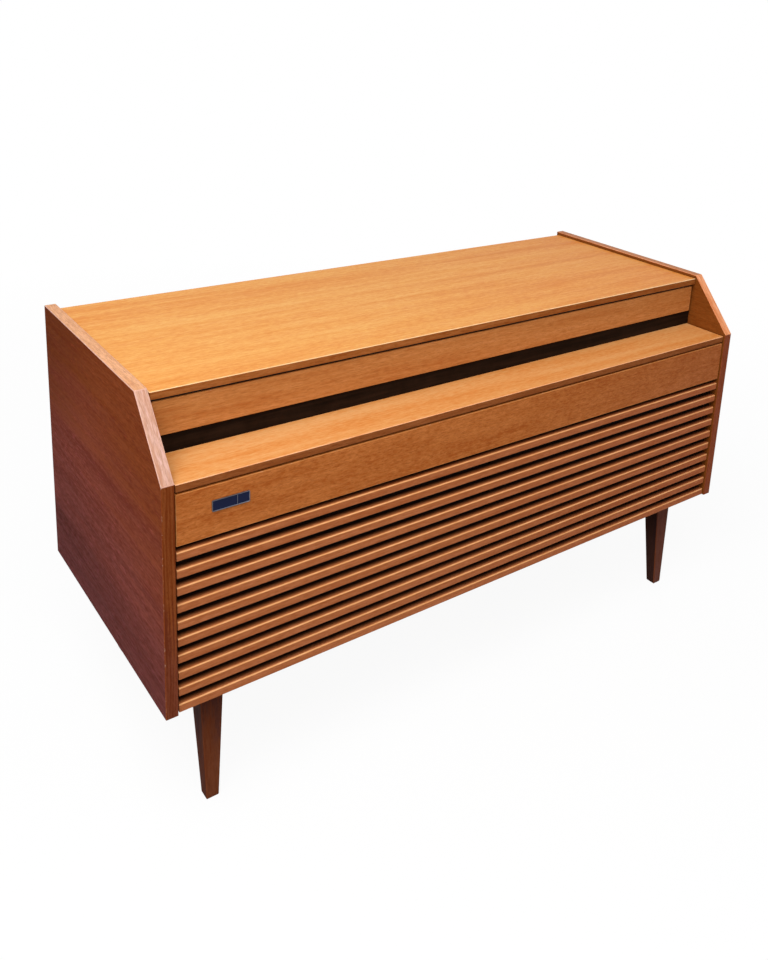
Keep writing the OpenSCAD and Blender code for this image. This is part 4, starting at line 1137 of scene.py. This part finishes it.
class CABINET_OT_back(bpy.types.Operator):
    """Back panel with its screws, and the plate with the sockets"""

    bl_idname = "cabinet.back"
    bl_label = "Back"

    def execute(self, context):
        dress("back_panel", "hardboard")
        self.screws(context.scene.cabinet_sizes.screw)
        self.sockets()
        return {"FINISHED"}

    def screws(self, radius):
        """Round heads along all four edges of the back panel"""
        low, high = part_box("back_panel")
        side, edge = high.x - 0.010, 0.008
        places = [(x * side, z) for x in (-1, -0.6, -0.2, 0.2, 0.6, 1)
                  for z in (low.z + edge, high.z - edge)]
        places += [(x * side, low.z + share * (high.z - low.z))
                   for x in (-1, 1) for share in (0.35, 0.65)]
        bm = bmesh.new()
        for count, (x, z) in enumerate(places):
            screw(bm, (x, high.y, z), BACK, radius, 0.0014, 0.7 * count)
        piece(bm, "back_screws", "case", ["dull_steel", "slot_shadow"])

    def sockets(self):
        """Plate with a round boss for the lead's entry and for each of two lined sockets"""
        low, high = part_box("socket_plate")
        x, z = (low.x + high.x) / 2, (low.z + high.z) / 2
        plate, proud, boss, depth, apart = 0.0025, 0.0006, 0.0080, 0.0062, 0.04
        half = 0.7 * boss
        lined = ((x - apart, 0.004), (x + apart, 0.00475))
        plain = ((x, 0.0032),)
        bm = bmesh.new()
        self.pierced(bm, (low.x, high.y - plate, low.z), (high.x, high.y - proud, high.z),
                     [(at - half, at + half) for at in (x - apart, x, x + apart)],
                     (z - half, z + half), 0.0007)
        for at, bore in lined + plain:
            turned(bm, [(bore, -depth), (bore, 0.0022), (bore + 0.0004, 0.0026),
                        (bore + 0.0022, 0.0026), (bore + 0.0030, 0.0018),
                        (boss, 0.0018), (boss, -depth), (bore, -depth)],
                   (at, high.y - 0.0026, z), BACK, 40)
        for at, bore in lined:
            turned(bm, [(bore - 0.0003, 0.0014), (bore - 0.0003, 0.00255),
                        (bore + 0.0010, 0.00262), (bore + 0.0012, 0.0014),
                        (bore - 0.0003, 0.0014)], (at, high.y - 0.0026, z), BACK, 40, 1)
        for place in (low.x + 0.008, high.x - 0.008):
            screw(bm, (place, high.y - proud, z), BACK, 0.0028, 0.0006, 0.4, 1)
        piece(bm, "socket_moulding", "case",
              ["socket_plastic", "dull_steel", "slot_shadow"], ["socket_plate"])

    def pierced(self, bm, low, high, openings, band, arris):
        """Upright plate with a row of square openings, and with its rear outer edges softened"""
        low, high = Vector(low), Vector(high)
        upright_sheet(bm, low, high, high.y, 1, 1)
        cuts = [((x, 0.0, 0.0), (1.0, 0.0, 0.0)) for opening in openings for x in opening]
        cuts += [((0.0, 0.0, z), (0.0, 0.0, 1.0)) for z in band]
        for place, normal in cuts:
            bmesh.ops.bisect_plane(bm, geom=bm.verts[:] + bm.edges[:] + bm.faces[:],
                                   plane_co=place, plane_no=normal)
        middles = [(face, face.calc_center_median()) for face in bm.faces]
        bmesh.ops.delete(bm, context="FACES", geom=[
            face for face, at in middles
            if band[0] < at.z < band[1] and any(left < at.x < right for left, right in openings)])
        made = bmesh.ops.extrude_face_region(bm, geom=bm.faces[:])
        inner = [v for v in made["geom"] if isinstance(v, bmesh.types.BMVert)]
        bmesh.ops.translate(bm, vec=(0.0, low.y - high.y, 0.0), verts=inner)
        bmesh.ops.recalc_face_normals(bm, faces=bm.faces[:])
        rim = [e for e in bm.edges if e.calc_face_angle(0.0) > 1.0
               and all(v.co.y > high.y - 1e-5 for v in e.verts)
               and not all(low.x + 0.001 < v.co.x < high.x - 0.001
                           and low.z + 0.001 < v.co.z < high.z - 0.001 for v in e.verts)]
        soften(bm, rim, arris, 2)


class CABINET_OT_speakers(bpy.types.Operator):
    """Loudspeakers behind the baffle"""

    bl_idname = "cabinet.speakers"
    bl_label = "Loudspeakers"

    def execute(self, context):
        for node in ("left_speaker", "right_speaker"):
            low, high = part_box(node)
            centre = ((low.x + high.x) / 2, low.y, (low.z + high.z) / 2)
            cone = [(0.0, 0.0185), (0.009, 0.0195), (0.015, 0.0225), (0.018, 0.0262),
                    (0.030, 0.022), (0.061, 0.0034)]
            ripple = [(0.0620 + 0.0016 * i, 0.0014 + (0.0012 if i % 2 else 0.0)) for i in range(5)]
            edge, flange, magnet, depth = 0.0702, 0.0820, 0.036, 0.062
            basket = [(edge - 0.0002, 0.0012), (edge, 0.0), (flange - 0.0005, 0.0),
                      (flange, 0.0006), (flange, 0.0030), (0.0745, 0.0034), (0.050, 0.0265),
                      (magnet, 0.0345), (magnet, depth - 0.0015), (magnet - 0.0015, depth),
                      (0.0, depth)]
            bm = bmesh.new()
            _, faces = turned(bm, cone + ripple + basket, centre, BACK, 72)
            for face in faces:
                middle = face.calc_center_median() - Vector(centre)
                if math.hypot(middle.x, middle.z) < edge - 0.0001 and face.normal.y < 0.2:
                    face.material_index = 1
            piece(bm, node + "_drive", "case", ["speaker_black", "cone_paper"],
                  [node])
        return {"FINISHED"}


# ---- record deck ----


class CABINET_OT_deck(bpy.types.Operator):
    """Deck plate with its trim and numbers, the platter, mat and spindle"""

    bl_idname = "cabinet.deck"
    bl_label = "Record deck"

    def execute(self, context):
        dress("deck_plate", "deck_enamel")
        dress("deck_motor", "motor_paint")
        bm = bmesh.new()
        plate_trim(bm, "deck_plate", 0.009, 0.0009, 0.016, 0.0042, 0.0018, 10)
        piece(bm, "deck_trim", "case", ["trim_steel", "slot_shadow"])
        self.numbers(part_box("deck_plate")[1].z)
        axis = axis_of("platter_spin")
        centre = (axis.x, axis.y, 0.0)
        self.platter(centre)
        self.mat(centre, context.scene.cabinet_sizes.mat_ribs)
        self.spindle(centre)
        return {"FINISHED"}

    def numbers(self, z):
        """Speeds round the lever, and 0 and 1 behind the start slide"""
        bm = bmesh.new()
        hub = axis_of("speed_select")
        hub.z = z
        for speed, angle in ((16, 30), (33, 10), (45, -10), (78, -30)):
            turn = math.radians(angle)
            number(bm, str(speed), hub + outward(turn) * 0.0225, 0.0062, turn)
            printed_line(bm, hub, turn, 0.0125, 0.0165, 0.0008)
        low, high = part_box("start_slide")
        for state, x in enumerate((low.x + 0.007, low.x + 0.025)):
            number(bm, str(state), (x, high.y + 0.007, z), 0.0060)
        piece(bm, "deck_numbers", "case", ["dark_print"])

    def platter(self, centre):
        """Cast platter with a hollow under it, and a grooved rim for the marks"""
        low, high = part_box("platter")
        rim, bore, hub, wall = (high.x - low.x) / 2, 0.00505, 0.014, 0.009
        top, web, skirt = high.z, high.z - 0.004, high.z - 0.012
        bm = bmesh.new()
        turned(bm, [(bore, low.z), (hub, low.z), (hub, web), (rim - wall, web),
                    (rim - wall, skirt), (rim - 0.001, skirt), (rim, skirt + 0.001)],
               centre, steps=128)
        turned(bm, [(rim, skirt + 0.001), (rim, skirt + 0.0030), (rim - 0.0008, skirt + 0.0034),
                    (rim - 0.0008, skirt + 0.0086), (rim, skirt + 0.0090), (rim, top - 0.0014)],
               centre, steps=128, index=1)
        turned(bm, [(rim, top - 0.0014), (rim - 0.0005, top - 0.0004), (rim - 0.0016, top),
                    (rim - 0.0040, top), (rim - 0.0046, top - 0.0006), (bore, top - 0.0006),
                    (bore, low.z)], centre, steps=128)
        bmesh.ops.remove_doubles(bm, verts=bm.verts[:], dist=1e-6)
        bmesh.ops.recalc_face_normals(bm, faces=bm.faces[:])
        piece(bm, "platter_casting", "platter",
              ["platter_alloy", "platter_rim"], ["platter"])

    def mat(self, centre, ribs):
        """Rubber mat with ribs between its plain middle and its rim"""
        low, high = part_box("platter_mat")
        outer, bore = (high.x - low.x) / 2, 0.0053
        crest, floor = high.z - 0.0002, high.z - 0.0011
        start, end = 0.0525, outer - 0.004
        pitch = (end - start) / ribs
        profile = [(bore, low.z), (bore, high.z - 0.0004), (bore + 0.0005, crest),
                   (start - 0.004, crest), (start - 0.0034, floor)]
        for rib in range(ribs):
            at = start + rib * pitch
            profile += [(at, floor), (at + 0.18 * pitch, crest), (at + 0.42 * pitch, crest),
                        (at + 0.60 * pitch, floor)]
        profile += [(end, floor), (end + 0.0006, high.z), (outer - 0.0006, high.z),
                    (outer, high.z - 0.0008), (outer, low.z + 0.1 * (high.z - low.z)),
                    (outer - 0.0003, low.z), (bore, low.z)]
        bm = bmesh.new()
        turned(bm, profile, centre, steps=96)
        piece(bm, "ribbed_mat", "platter", ["mat_rubber"], ["platter_mat"])

    def spindle(self, centre):
        """Bearing pin on its flange, stepped down to the record's hole above the mat"""
        low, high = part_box("spindle")
        step, flange, bearing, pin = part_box("platter_mat")[1].z, 0.012, 0.005, 0.00355
        bm = bmesh.new()
        turned(bm, [(0.0, low.z), (flange, low.z), (flange, low.z + 0.0016),
                    (flange - 0.0004, low.z + 0.002), (bearing, low.z + 0.002),
                    (bearing, step - 0.0006), (bearing - 0.0006, step), (pin, step),
                    (pin, high.z - 0.0024), (0.0031, high.z - 0.0011), (0.0020, high.z - 0.0002),
                    (0.0, high.z)], centre, steps=48)
        piece(bm, "record_pin", "case", ["spindle_steel"], ["spindle"])


class CABINET_OT_arm(bpy.types.Operator):
    """Pick-up arm on its turret and pedestal, with its rest"""

    bl_idname = "cabinet.arm"
    bl_label = "Pick-up arm"

    def execute(self, context):
        pivot = axis_of("arm_lift")
        self.base(pivot)
        self.turret(pivot)
        self.tube(pivot)
        self.rest(pivot)
        return {"FINISHED"}

    def base(self, pivot):
        """Turned pedestal with a hole for the turret's stem"""
        low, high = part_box("arm_pedestal")
        bore, foot = 0.00405, 0.020
        bm = bmesh.new()
        turned(bm, [(bore, low.z), (foot, low.z), (foot, low.z + 0.0018),
                    (foot - 0.0008, low.z + 0.0026), (0.0172, low.z + 0.0030),
                    (0.0164, high.z - 0.0016), (0.0154, high.z - 0.0003), (0.0145, high.z),
                    (bore, high.z), (bore, low.z)], (pivot.x, pivot.y, 0.0), steps=72)
        piece(bm, "arm_base", "case", ["arm_black"], ["arm_pedestal"])

    def turret(self, pivot):
        """Disc on a stem, with two cheeks and the screws of the arm's pin"""
        low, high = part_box("arm_turret")
        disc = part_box("arm_pedestal")[1].z + 0.0003
        stem, radius, inner, outer = 0.004, 0.015, 0.009, 0.012
        bm = bmesh.new()
        turned(bm, [(0.0, low.z), (stem, low.z), (stem, disc), (radius - 0.0008, disc),
                    (radius, disc + 0.0006), (radius, disc + 0.0042),
                    (radius - 0.0007, disc + 0.005), (0.0, disc + 0.005)],
               (pivot.x, pivot.y, 0.0), steps=64)
        for side in (-1, 1):
            near, far = sorted((pivot.x + side * inner, pivot.x + side * outer))
            _, edges, _ = block(bm, (near, pivot.y - 0.007, disc + 0.0045),
                                (far, pivot.y + 0.007, high.z))
            crown = [e for e in edges if all(abs(v.co.z - high.z) < 1e-5 for v in e.verts)
                     and abs(e.verts[0].co.x - e.verts[1].co.x) > 0.001]
            soften(bm, crown, 0.0045, 5)
            screw(bm, (pivot.x + side * outer, pivot.y, pivot.z), (side, 0, 0), 0.0026, 0.0010,
                  0.5 + side)
        piece(bm, "arm_turret_yoke", "arm_turret", ["bright_steel", "slot_shadow"],
              ["arm_turret"])

    def tube(self, pivot):
        """Arm with its pin block, tapered tube, ribbed weight, head, needle and finger lift"""
        steel, black = 1, 2
        low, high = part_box("tonearm")
        x, y, z = pivot
        head_top = z + 0.002
        head_low = head_top - 0.008
        bm = bmesh.new()
        block(bm, (x - 0.0085, y - 0.008, z - 0.006), (x + 0.0085, y + 0.008, z + 0.006),
              0.0018, 3)
        arm = y - 0.006 - (low.y + 0.036)
        turned(bm, [(0.0, 0.0), (0.0040, 0.0), (0.0040, 0.012), (0.0036, 0.014),
                    (0.0032, arm - 0.012), (0.0038, arm - 0.010), (0.0038, arm), (0.0, arm)],
               (x, y - 0.006, z), (0, -1, 0), 32)
        tail = high.y - y
        turned(bm, [(0.0, 0.006), (0.0034, 0.006), (0.0034, tail - 0.022), (0.0, tail - 0.022)],
               pivot, BACK, 32)
        weight = [(0.0, 0.0), (0.0095, 0.0), (0.0108, 0.0010)]
        for ring in range(6):
            at = 0.0030 + ring * 0.0026
            weight += [(0.0110, at), (0.0104, at + 0.0007), (0.0104, at + 0.0013),
                       (0.0110, at + 0.0020)]
        weight += [(0.0110, 0.0200), (0.0096, 0.0220), (0.0, 0.0220)]
        turned(bm, weight, (x, high.y - 0.022, z), BACK, 48, steel)
        verts, edges, _ = block(bm, (x - 0.009, low.y, head_low + 0.003),
                                (x + 0.009, low.y + 0.042, head_top))
        neck = [v for v in verts if v.co.y > low.y + 0.03]
        bmesh.ops.scale(bm, vec=(0.62, 1.0, 1.0), verts=neck,
                        space=Matrix.Translation((-x, 0.0, 0.0)))
        soften(bm, edges, 0.0014, 3)
        block(bm, (x - 0.0065, low.y + 0.003, head_low),
              (x + 0.0065, low.y + 0.024, head_low + 0.0034), 0.0006, 2, black)
        needle = head_low - low.z
        turned(bm, [(0.0, 0.0002), (0.0009, 0.0), (0.0008, -0.6 * needle), (0.0002, -needle),
                    (0.0, -needle)], (x, low.y + 0.008, head_low), UP, 20, steel)
        wire(bm, [(x + 0.0085, low.y + 0.008, head_top - 0.002),
                  (x + 0.0105, low.y + 0.006, head_top - 0.0015),
                  (x + 0.0108, low.y + 0.003, head_top - 0.0002)], 0.0006, False, steel)
        piece(bm, "pickup_arm", "tonearm", ["arm_ivory", "bright_steel", "arm_black"],
              ["tonearm"])

    def rest(self, pivot):
        """Turned post under the parked arm, with a wire hook beside it"""
        low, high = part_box("arm_rest")
        post = pivot.z - 0.0043 - low.z
        middle = (low.y + high.y) / 2
        bm = bmesh.new()
        turned(bm, [(0.0, 0.0), (0.0040, 0.0), (0.0040, 0.0015), (0.0028, 0.0022),
                    (0.0026, post - 0.004), (0.0038, post - 0.0024), (0.0038, post - 0.0006),
                    (0.0032, post), (0.0, post)], (pivot.x, middle, low.z), steps=36)
        hook, bend = high.x - 0.001, low.z + post - 0.006
        wire(bm, [(pivot.x + 0.002, middle, bend), (hook - 0.002, middle, bend),
                  (hook, middle, bend + 0.002), (hook, middle, high.z - 0.002),
                  (hook, middle, high.z - 0.0006)], 0.00095)
        piece(bm, "arm_post", "case", ["bright_steel"], ["arm_rest"])


class CABINET_OT_levers(bpy.types.Operator):
    """Speed lever and start slide on the deck plate"""

    bl_idname = "cabinet.levers"
    bl_label = "Levers"

    def execute(self, context):
        self.speed_lever()
        self.start_slide()
        return {"FINISHED"}

    def speed_lever(self):
        """Turned hub with a grip towards the front and a printed line on its top"""
        hub = axis_of("speed_select")
        low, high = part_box("speed_lever")
        base, radius = high.z - 0.007, 0.008
        bm = bmesh.new()
        turned(bm, [(0.0, low.z), (0.003, low.z), (0.003, base), (radius - 0.0006, base),
                    (radius, base + 0.0006), (radius, base + 0.0052), (0.0070, base + 0.0066),
                    (0.0056, high.z), (0.0048, high.z - 0.0006), (0.0, high.z - 0.0006)],
               (hub.x, hub.y, 0.0), steps=56)
        block(bm, (hub.x - 0.0029, low.y + 0.0001, base),
              (hub.x + 0.0029, hub.y - 0.004, high.z - 0.0014), 0.0016, 3)
        block(bm, (hub.x - 0.0005, hub.y + 0.0012, high.z - 0.0007),
              (hub.x + 0.0005, hub.y + 0.0070, high.z - 0.0002), index=1)
        piece(bm, "speed_lever_grip", "speed_lever", ["lever_ivory", "dark_print"],
              ["speed_lever"])

    def start_slide(self):
        """Ribbed grip on a stem that runs in the deck plate's slot"""
        low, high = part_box("start_slide")
        base, width, ribs = high.z - 0.009, high.x - low.x, 5
        bm = bmesh.new()
        block(bm, (low.x, low.y, base), (high.x, high.y, high.z - 0.002), 0.0012, 3)
        for rib in range(ribs):
            x = low.x + width * (0.16 + 0.17 * rib)
            block(bm, (x - 0.0006, low.y + 0.0008, high.z - 0.0034),
                  (x + 0.0006, high.y - 0.0008, high.z), 0.0005, 2)
        x, y = (low.x + high.x) / 2, (low.y + high.y) / 2
        block(bm, (x - 0.003, y - 0.0013, low.z), (x + 0.003, y + 0.0013, base + 0.001))
        piece(bm, "start_slide_grip", "start_slide", ["lever_ivory"],
              ["start_slide"])


# ---- radio ----


class CABINET_OT_radio(bpy.types.Operator):
    """Control panel with its trim, tuning scale, pointer and numbers"""

    bl_idname = "cabinet.radio"
    bl_label = "Radio panel"

    def execute(self, context):
        dress("control_panel", "panel_gold")
        dress("radio_chassis", "chassis_steel")
        low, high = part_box("tuning_scale")
        top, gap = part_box("control_panel")[1].z, 0.0012
        bm = bmesh.new()
        plate_trim(bm, "control_panel", 0.004, 0.0008, 0.012, 0.0030, 0.0012, 9)
        wire(bm, rounded_path((low.x - gap, low.y - gap), (high.x + gap, high.y + gap),
                              top + 0.0006, 0.002), 0.0011, True)
        piece(bm, "panel_trim", "case", ["trim_steel", "slot_shadow"])
        bm = bmesh.new()
        block(bm, low, high, 0.0009, 3)
        piece(bm, "scale_glass", "case", ["scale_gloss"], ["tuning_scale"])
        self.print_scale(low, high)
        self.marks(top)
        self.pointer(top)
        return {"FINISHED"}

    def print_scale(self, low, high):
        """Three rows of frequencies, each over a line with forty steps"""
        width, depth = high.x - low.x, high.y - low.y
        left, right = low.x + 0.07 * width, low.x + 0.93 * width
        steps, bold, print_low, print_high = 40, 8, high.z - 0.0001, high.z + 0.0001
        bands = ((6, 7, 8, 10, 12, 15), (55, 60, 70, 90, 120, 160), (88, 92, 96, 100, 104, 108))
        bm = bmesh.new()
        for row, band in enumerate(bands):
            y = low.y + depth * (0.20 + 0.28 * row)
            block(bm, (left, y - 0.0002, print_low), (right, y + 0.0002, print_high))
            for step in range(steps + 1):
                x = left + (right - left) * step / steps
                tall = 0.0016 if step % bold else 0.0034
                block(bm, (x - 0.00015, y, print_low), (x + 0.00015, y + tall, print_high))
            for place, frequency in enumerate(band):
                x = left + (right - left) * place / (len(band) - 1)
                number(bm, str(frequency), (x, y + 0.0072, high.z), 0.0058)
        piece(bm, "scale_numbers", "case", ["scale_print"])

    def marks(self, z):
        """Dials from 0 to 10 round three knobs, and a number behind each key"""
        radius = 0.0195
        bm = bmesh.new()
        for name in KNOBS[1:]:
            hub = axis_of(name + "_turn")
            hub.z = z
            for step in range(11):
                turn = math.radians(135 - 27 * step)
                printed_line(bm, hub, turn, radius - 0.0015, radius + 0.0010, 0.0005)
                if step % 5 == 0:
                    number(bm, str(step), hub + outward(turn) * (radius + 0.0045), 0.0052)
        for key in range(1, 5):
            low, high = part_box(f"push_button_{key}")
            number(bm, str(key), ((low.x + high.x) / 2, high.y + 0.006, z), 0.0058)
        piece(bm, "panel_numbers", "case", ["dark_print"])

    def pointer(self, z):
        """Carriage in front of the scale, with a stem in its slot and a thin hand"""
        low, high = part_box("dial_pointer")
        x = (low.x + high.x) / 2
        stem = low.y + 0.006
        bm = bmesh.new()
        block(bm, (x - 0.0012, stem - 0.0012, low.z), (x + 0.0012, stem + 0.0012, z + 0.001))
        block(bm, (x - 0.004, low.y, z + 0.0003), (x + 0.004, low.y + 0.012, high.z), 0.0009, 3)
        block(bm, (x - 0.0008, low.y + 0.010, high.z - 0.0013), (x + 0.0008, high.y, high.z),
              0.0004, 2)
        piece(bm, "pointer_needle", "dial_pointer", ["pointer_red"],
              ["dial_pointer"])


class CABINET_OT_knobs(bpy.types.Operator):
    """Fluted knobs with spun caps, and the push buttons"""

    bl_idname = "cabinet.knobs"
    bl_label = "Knobs and keys"

    def execute(self, context):
        for name in KNOBS:
            self.knob(name, context.scene.cabinet_sizes.flutes)
        for key in range(1, 5):
            self.push_button(f"push_button_{key}")
        return {"FINISHED"}

    def knob(self, name, flutes):
        """Fluted skirted knob with a spun cap and a printed line"""
        axis = axis_of(name + "_turn")
        low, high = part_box(name + "_knob")
        wide = (high.x - low.x) / 2
        foot, shaft = high.z - 0.017, 0.003
        centre = (axis.x, axis.y, 0.0)
        bm = bmesh.new()
        verts, _ = turned(
            bm, [(0.0, low.z), (shaft, low.z), (shaft, foot), (wide - 0.0005, foot),
                 (wide, foot + 0.0006), (wide, foot + 0.0022), (0.965 * wide, foot + 0.0030),
                 (0.90 * wide, foot + 0.0034), (0.885 * wide, foot + 0.0060),
                 (0.84 * wide, high.z - 0.0026), (0.80 * wide, high.z - 0.0008),
                 (0.75 * wide, high.z), (0.68 * wide, high.z), (0.65 * wide, high.z - 0.0007),
                 (0.0, high.z - 0.0007)], centre, steps=4 * flutes)
        flute(verts, axis, foot + 0.0033, high.z - 0.0020, flutes, 0.05)
        turned(bm, [(0.0, high.z - 0.0001), (0.20 * wide, high.z - 0.0001),
                    (0.40 * wide, high.z - 0.0003), (0.58 * wide, high.z - 0.0002),
                    (0.62 * wide, high.z - 0.0008), (0.0, high.z - 0.0008)], centre, index=1)
        block(bm, (axis.x - 0.0006, axis.y + 0.66 * wide, high.z - 0.0008),
              (axis.x + 0.0006, axis.y + 0.80 * wide, high.z + 0.00005), index=2)
        piece(bm, name + "_knob_fluted", name + "_knob",
              ["knob_ivory", name + "_cap", "dark_print"], [name + "_knob"])

    def push_button(self, node):
        """Ivory key with a shallow dish in its top"""
        low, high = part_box(node)
        bm = bmesh.new()
        block(bm, low, high, 0.0011, 3)
        crown = [largest(bm, UP)]
        bmesh.ops.inset_region(bm, faces=crown, thickness=0.0022, depth=0.0)
        bmesh.ops.inset_region(bm, faces=crown, thickness=0.0012, depth=-0.0007)
        piece(bm, node + "_cap", node, ["button_ivory"], [node])


class CABINET_OT_hardware(bpy.types.Operator):
    """Strip hinge and quadrant stay, with their screws"""

    bl_idname = "cabinet.hardware"
    bl_label = "Hinge and stay"

    def execute(self, context):
        for node in ("case_hinge_leaf", "lid_hinge_leaf", "stay_quadrant", "stay_guide"):
            dress(node, "brass_plate")
        lid, case = bmesh.new(), bmesh.new()
        under_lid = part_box("lid_board")[0].z
        over_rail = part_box("rear_rail")[1].z
        reach, count, leaf = 0.445, 14, 0.0011
        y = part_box("case_hinge_leaf")[0].y + 0.009
        for step in range(count):
            x = -reach + step * 2 * reach / (count - 1)
            screw(lid, (x, y, under_lid - leaf), DOWN, 0.0029, 0.00025, step * 1.1)
            screw(case, (x, y, over_rail + leaf), UP, 0.0029, 0.00025, step * 1.7)
        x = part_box("stay_quadrant")[1].x - 0.007
        y = axis_of("lid_hinge").y - 0.086
        for apart in (-0.009, 0.009):
            screw(lid, (x, y + apart, under_lid - 0.002), DOWN, 0.0028, 0.0010, 5 * apart)
        low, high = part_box("stay_guide")
        inset = 0.0045
        for z in (low.z + inset, high.z - inset):
            for y in (low.y + inset, high.y - inset):
                screw(case, (high.x - 0.002, y, z), LEFT, 0.0024, 0.0009, 40 * y)
        piece(lid, "lid_screws", "lid", ["brass_screw", "slot_shadow"])
        piece(case, "case_screws", "case", ["brass_screw", "slot_shadow"])
        return {"FINISHED"}


# ---- floor, light and camera ----


class CABINET_OT_studio(bpy.types.Operator):
    """Plain pale floor, soft light and the camera"""

    bl_idname = "cabinet.studio"
    bl_label = "Studio"

    def execute(self, context):
        studio = context.scene.cabinet_studio
        self.floor(context)
        self.sky(context, studio)
        self.lamp(context, "key", studio.key, 1.8, (-1.15, -0.95, 2.35), (0.0, 0.0, 0.4))
        self.lamp(context, "fill", studio.fill, 2.4, (-0.4, -3.2, 1.3), (0.0, 0.0, 0.4))
        self.lamp(context, "behind", studio.behind, 0.5, (2.2, 1.7, 0.3), (0.2, 0.1, 0.3))
        self.camera(context, studio)
        context.scene.view_settings.view_transform = "Standard"
        return {"FINISHED"}

    def camera(self, context, studio):
        """Camera with its picture shifted, because the view that it repeats is a crop"""
        data = bpy.data.cameras.new("camera")
        data.lens = studio.lens
        data.shift_x = studio.aside
        data.shift_y = studio.raised
        data.clip_end = 500.0
        camera = bpy.data.objects.new("camera", data)
        camera.location = studio.camera_place
        camera.rotation_euler = studio.camera_turn
        context.scene.collection.objects.link(camera)
        context.scene.camera = camera

    def floor(self, context):
        """A wide level floor"""
        bm = bmesh.new()
        bmesh.ops.create_grid(bm, x_segments=1, y_segments=1, size=150.0)
        mesh = bpy.data.meshes.new("floor")
        bm.to_mesh(mesh)
        bm.free()
        mesh.materials.append(self.floor_paint())
        floor = bpy.data.objects.new("floor", mesh)
        context.scene.collection.objects.link(floor)

    def floor_paint(self):
        """Pale matt paint that looks white, keeps the shadow and is clear from below"""
        s = Shading("floor")
        at = s.place()
        mottle = s.noise(at, (3, 3, 3), 4.0, 0.6)
        ray = s.add("LightPath", {}, "Is Camera Ray")
        pale = s.ramp(mottle, [(0.3, (0.40, 0.40, 0.40)), (0.7, (0.43, 0.43, 0.43))])
        s.coat(Base_Color=s.blend(ray, pale, (0.90, 0.90, 0.90)), Roughness=0.9,
               Specular_IOR_Level=0.0)
        glow = s.add("Emission", {"Color": (1.0, 1.0, 1.0, 1.0), "Strength": 1.0})
        seen = s.calc("MULTIPLY", ray, s.level(s.distance(at), 0.8, 2.4, 0.93, 1.0))
        mixed = s.add("MixShader", {0: seen, 1: s.surface.outputs[0], 2: glow})
        under = s.add("NewGeometry", {}, "Backfacing")
        mixed = s.add("MixShader", {0: under, 1: mixed, 2: s.add("BsdfTransparent", {})})
        s.put(s.end, "Surface", mixed)
        return s.material

    def sky(self, context, studio):
        """Even light, white where the camera, metal or glass sees it"""
        world = bpy.data.worlds.new("studio")
        s = NodeTree(world, "World")
        camera, glossy, clear = (s.add("LightPath", {}, f"Is {kind} Ray")
                                 for kind in ("Camera", "Glossy", "Transmission"))
        straight = s.calc("MAXIMUM", s.calc("MAXIMUM", camera, glossy), clear)
        light = s.add("Background", {"Color": (0.96, 0.98, 1.0, 1.0), "Strength": studio.sky})
        white = s.add("Background", {"Color": (1.0, 1.0, 1.0, 1.0)})
        s.put(s.end, "Surface", s.add("MixShader", {0: straight, 1: light, 2: white}))
        context.scene.world = world

    def lamp(self, context, name, power, size, place, aim):
        """Square soft lamp that looks at a point"""
        data = bpy.data.lights.new(name, "AREA")
        data.shape = "SQUARE"
        data.size = size
        data.energy = power
        lamp = bpy.data.objects.new(name, data)
        lamp.location = place
        lamp.rotation_euler = (Vector(aim) - Vector(place)).to_track_quat("-Z", "Y").to_euler()
        context.scene.collection.objects.link(lamp)


PIECES = (
    CABINET_OT_side_panels, CABINET_OT_lid, CABINET_OT_ledge, CABINET_OT_slats, CABINET_OT_legs,
    CABINET_OT_carcass, CABINET_OT_back, CABINET_OT_speakers, CABINET_OT_deck, CABINET_OT_arm,
    CABINET_OT_levers, CABINET_OT_radio, CABINET_OT_knobs, CABINET_OT_hardware,
    CABINET_OT_studio,
)


class CABINET_PT_sidebar(bpy.types.Panel):
    """The cabinet's pieces, sizes and colours"""

    bl_idname = "CABINET_PT_sidebar"
    bl_label = "Record-player cabinet"
    bl_space_type = "VIEW_3D"
    bl_region_type = "UI"
    bl_category = "Cabinet"

    def draw(self, context):
        for operator in PIECES:
            self.layout.operator(operator.bl_idname)
        for group in ("cabinet_sizes", "cabinet_colours", "cabinet_studio"):
            holder = getattr(context.scene, group)
            column = self.layout.column(align=True)
            for key in holder.__annotations__:
                column.prop(holder, key)


GROUPS = {"cabinet_sizes": CabinetSizes, "cabinet_colours": CabinetColours,
          "cabinet_studio": CabinetStudio}


def register():
    for one in (*GROUPS.values(), *PIECES, CABINET_PT_sidebar):
        bpy.utils.register_class(one)
    for name, group in GROUPS.items():
        setattr(bpy.types.Scene, name, PointerProperty(type=group))


def unregister():
    for name in GROUPS:
        delattr(bpy.types.Scene, name)
    for one in (CABINET_PT_sidebar, *reversed(PIECES), *reversed(GROUPS.values())):
        bpy.utils.unregister_class(one)


def main():
    register()
    for operator in PIECES:
        group, name = operator.bl_idname.split(".")
        getattr(getattr(bpy.ops, group), name)()


if __name__ == "__main__":
    main()
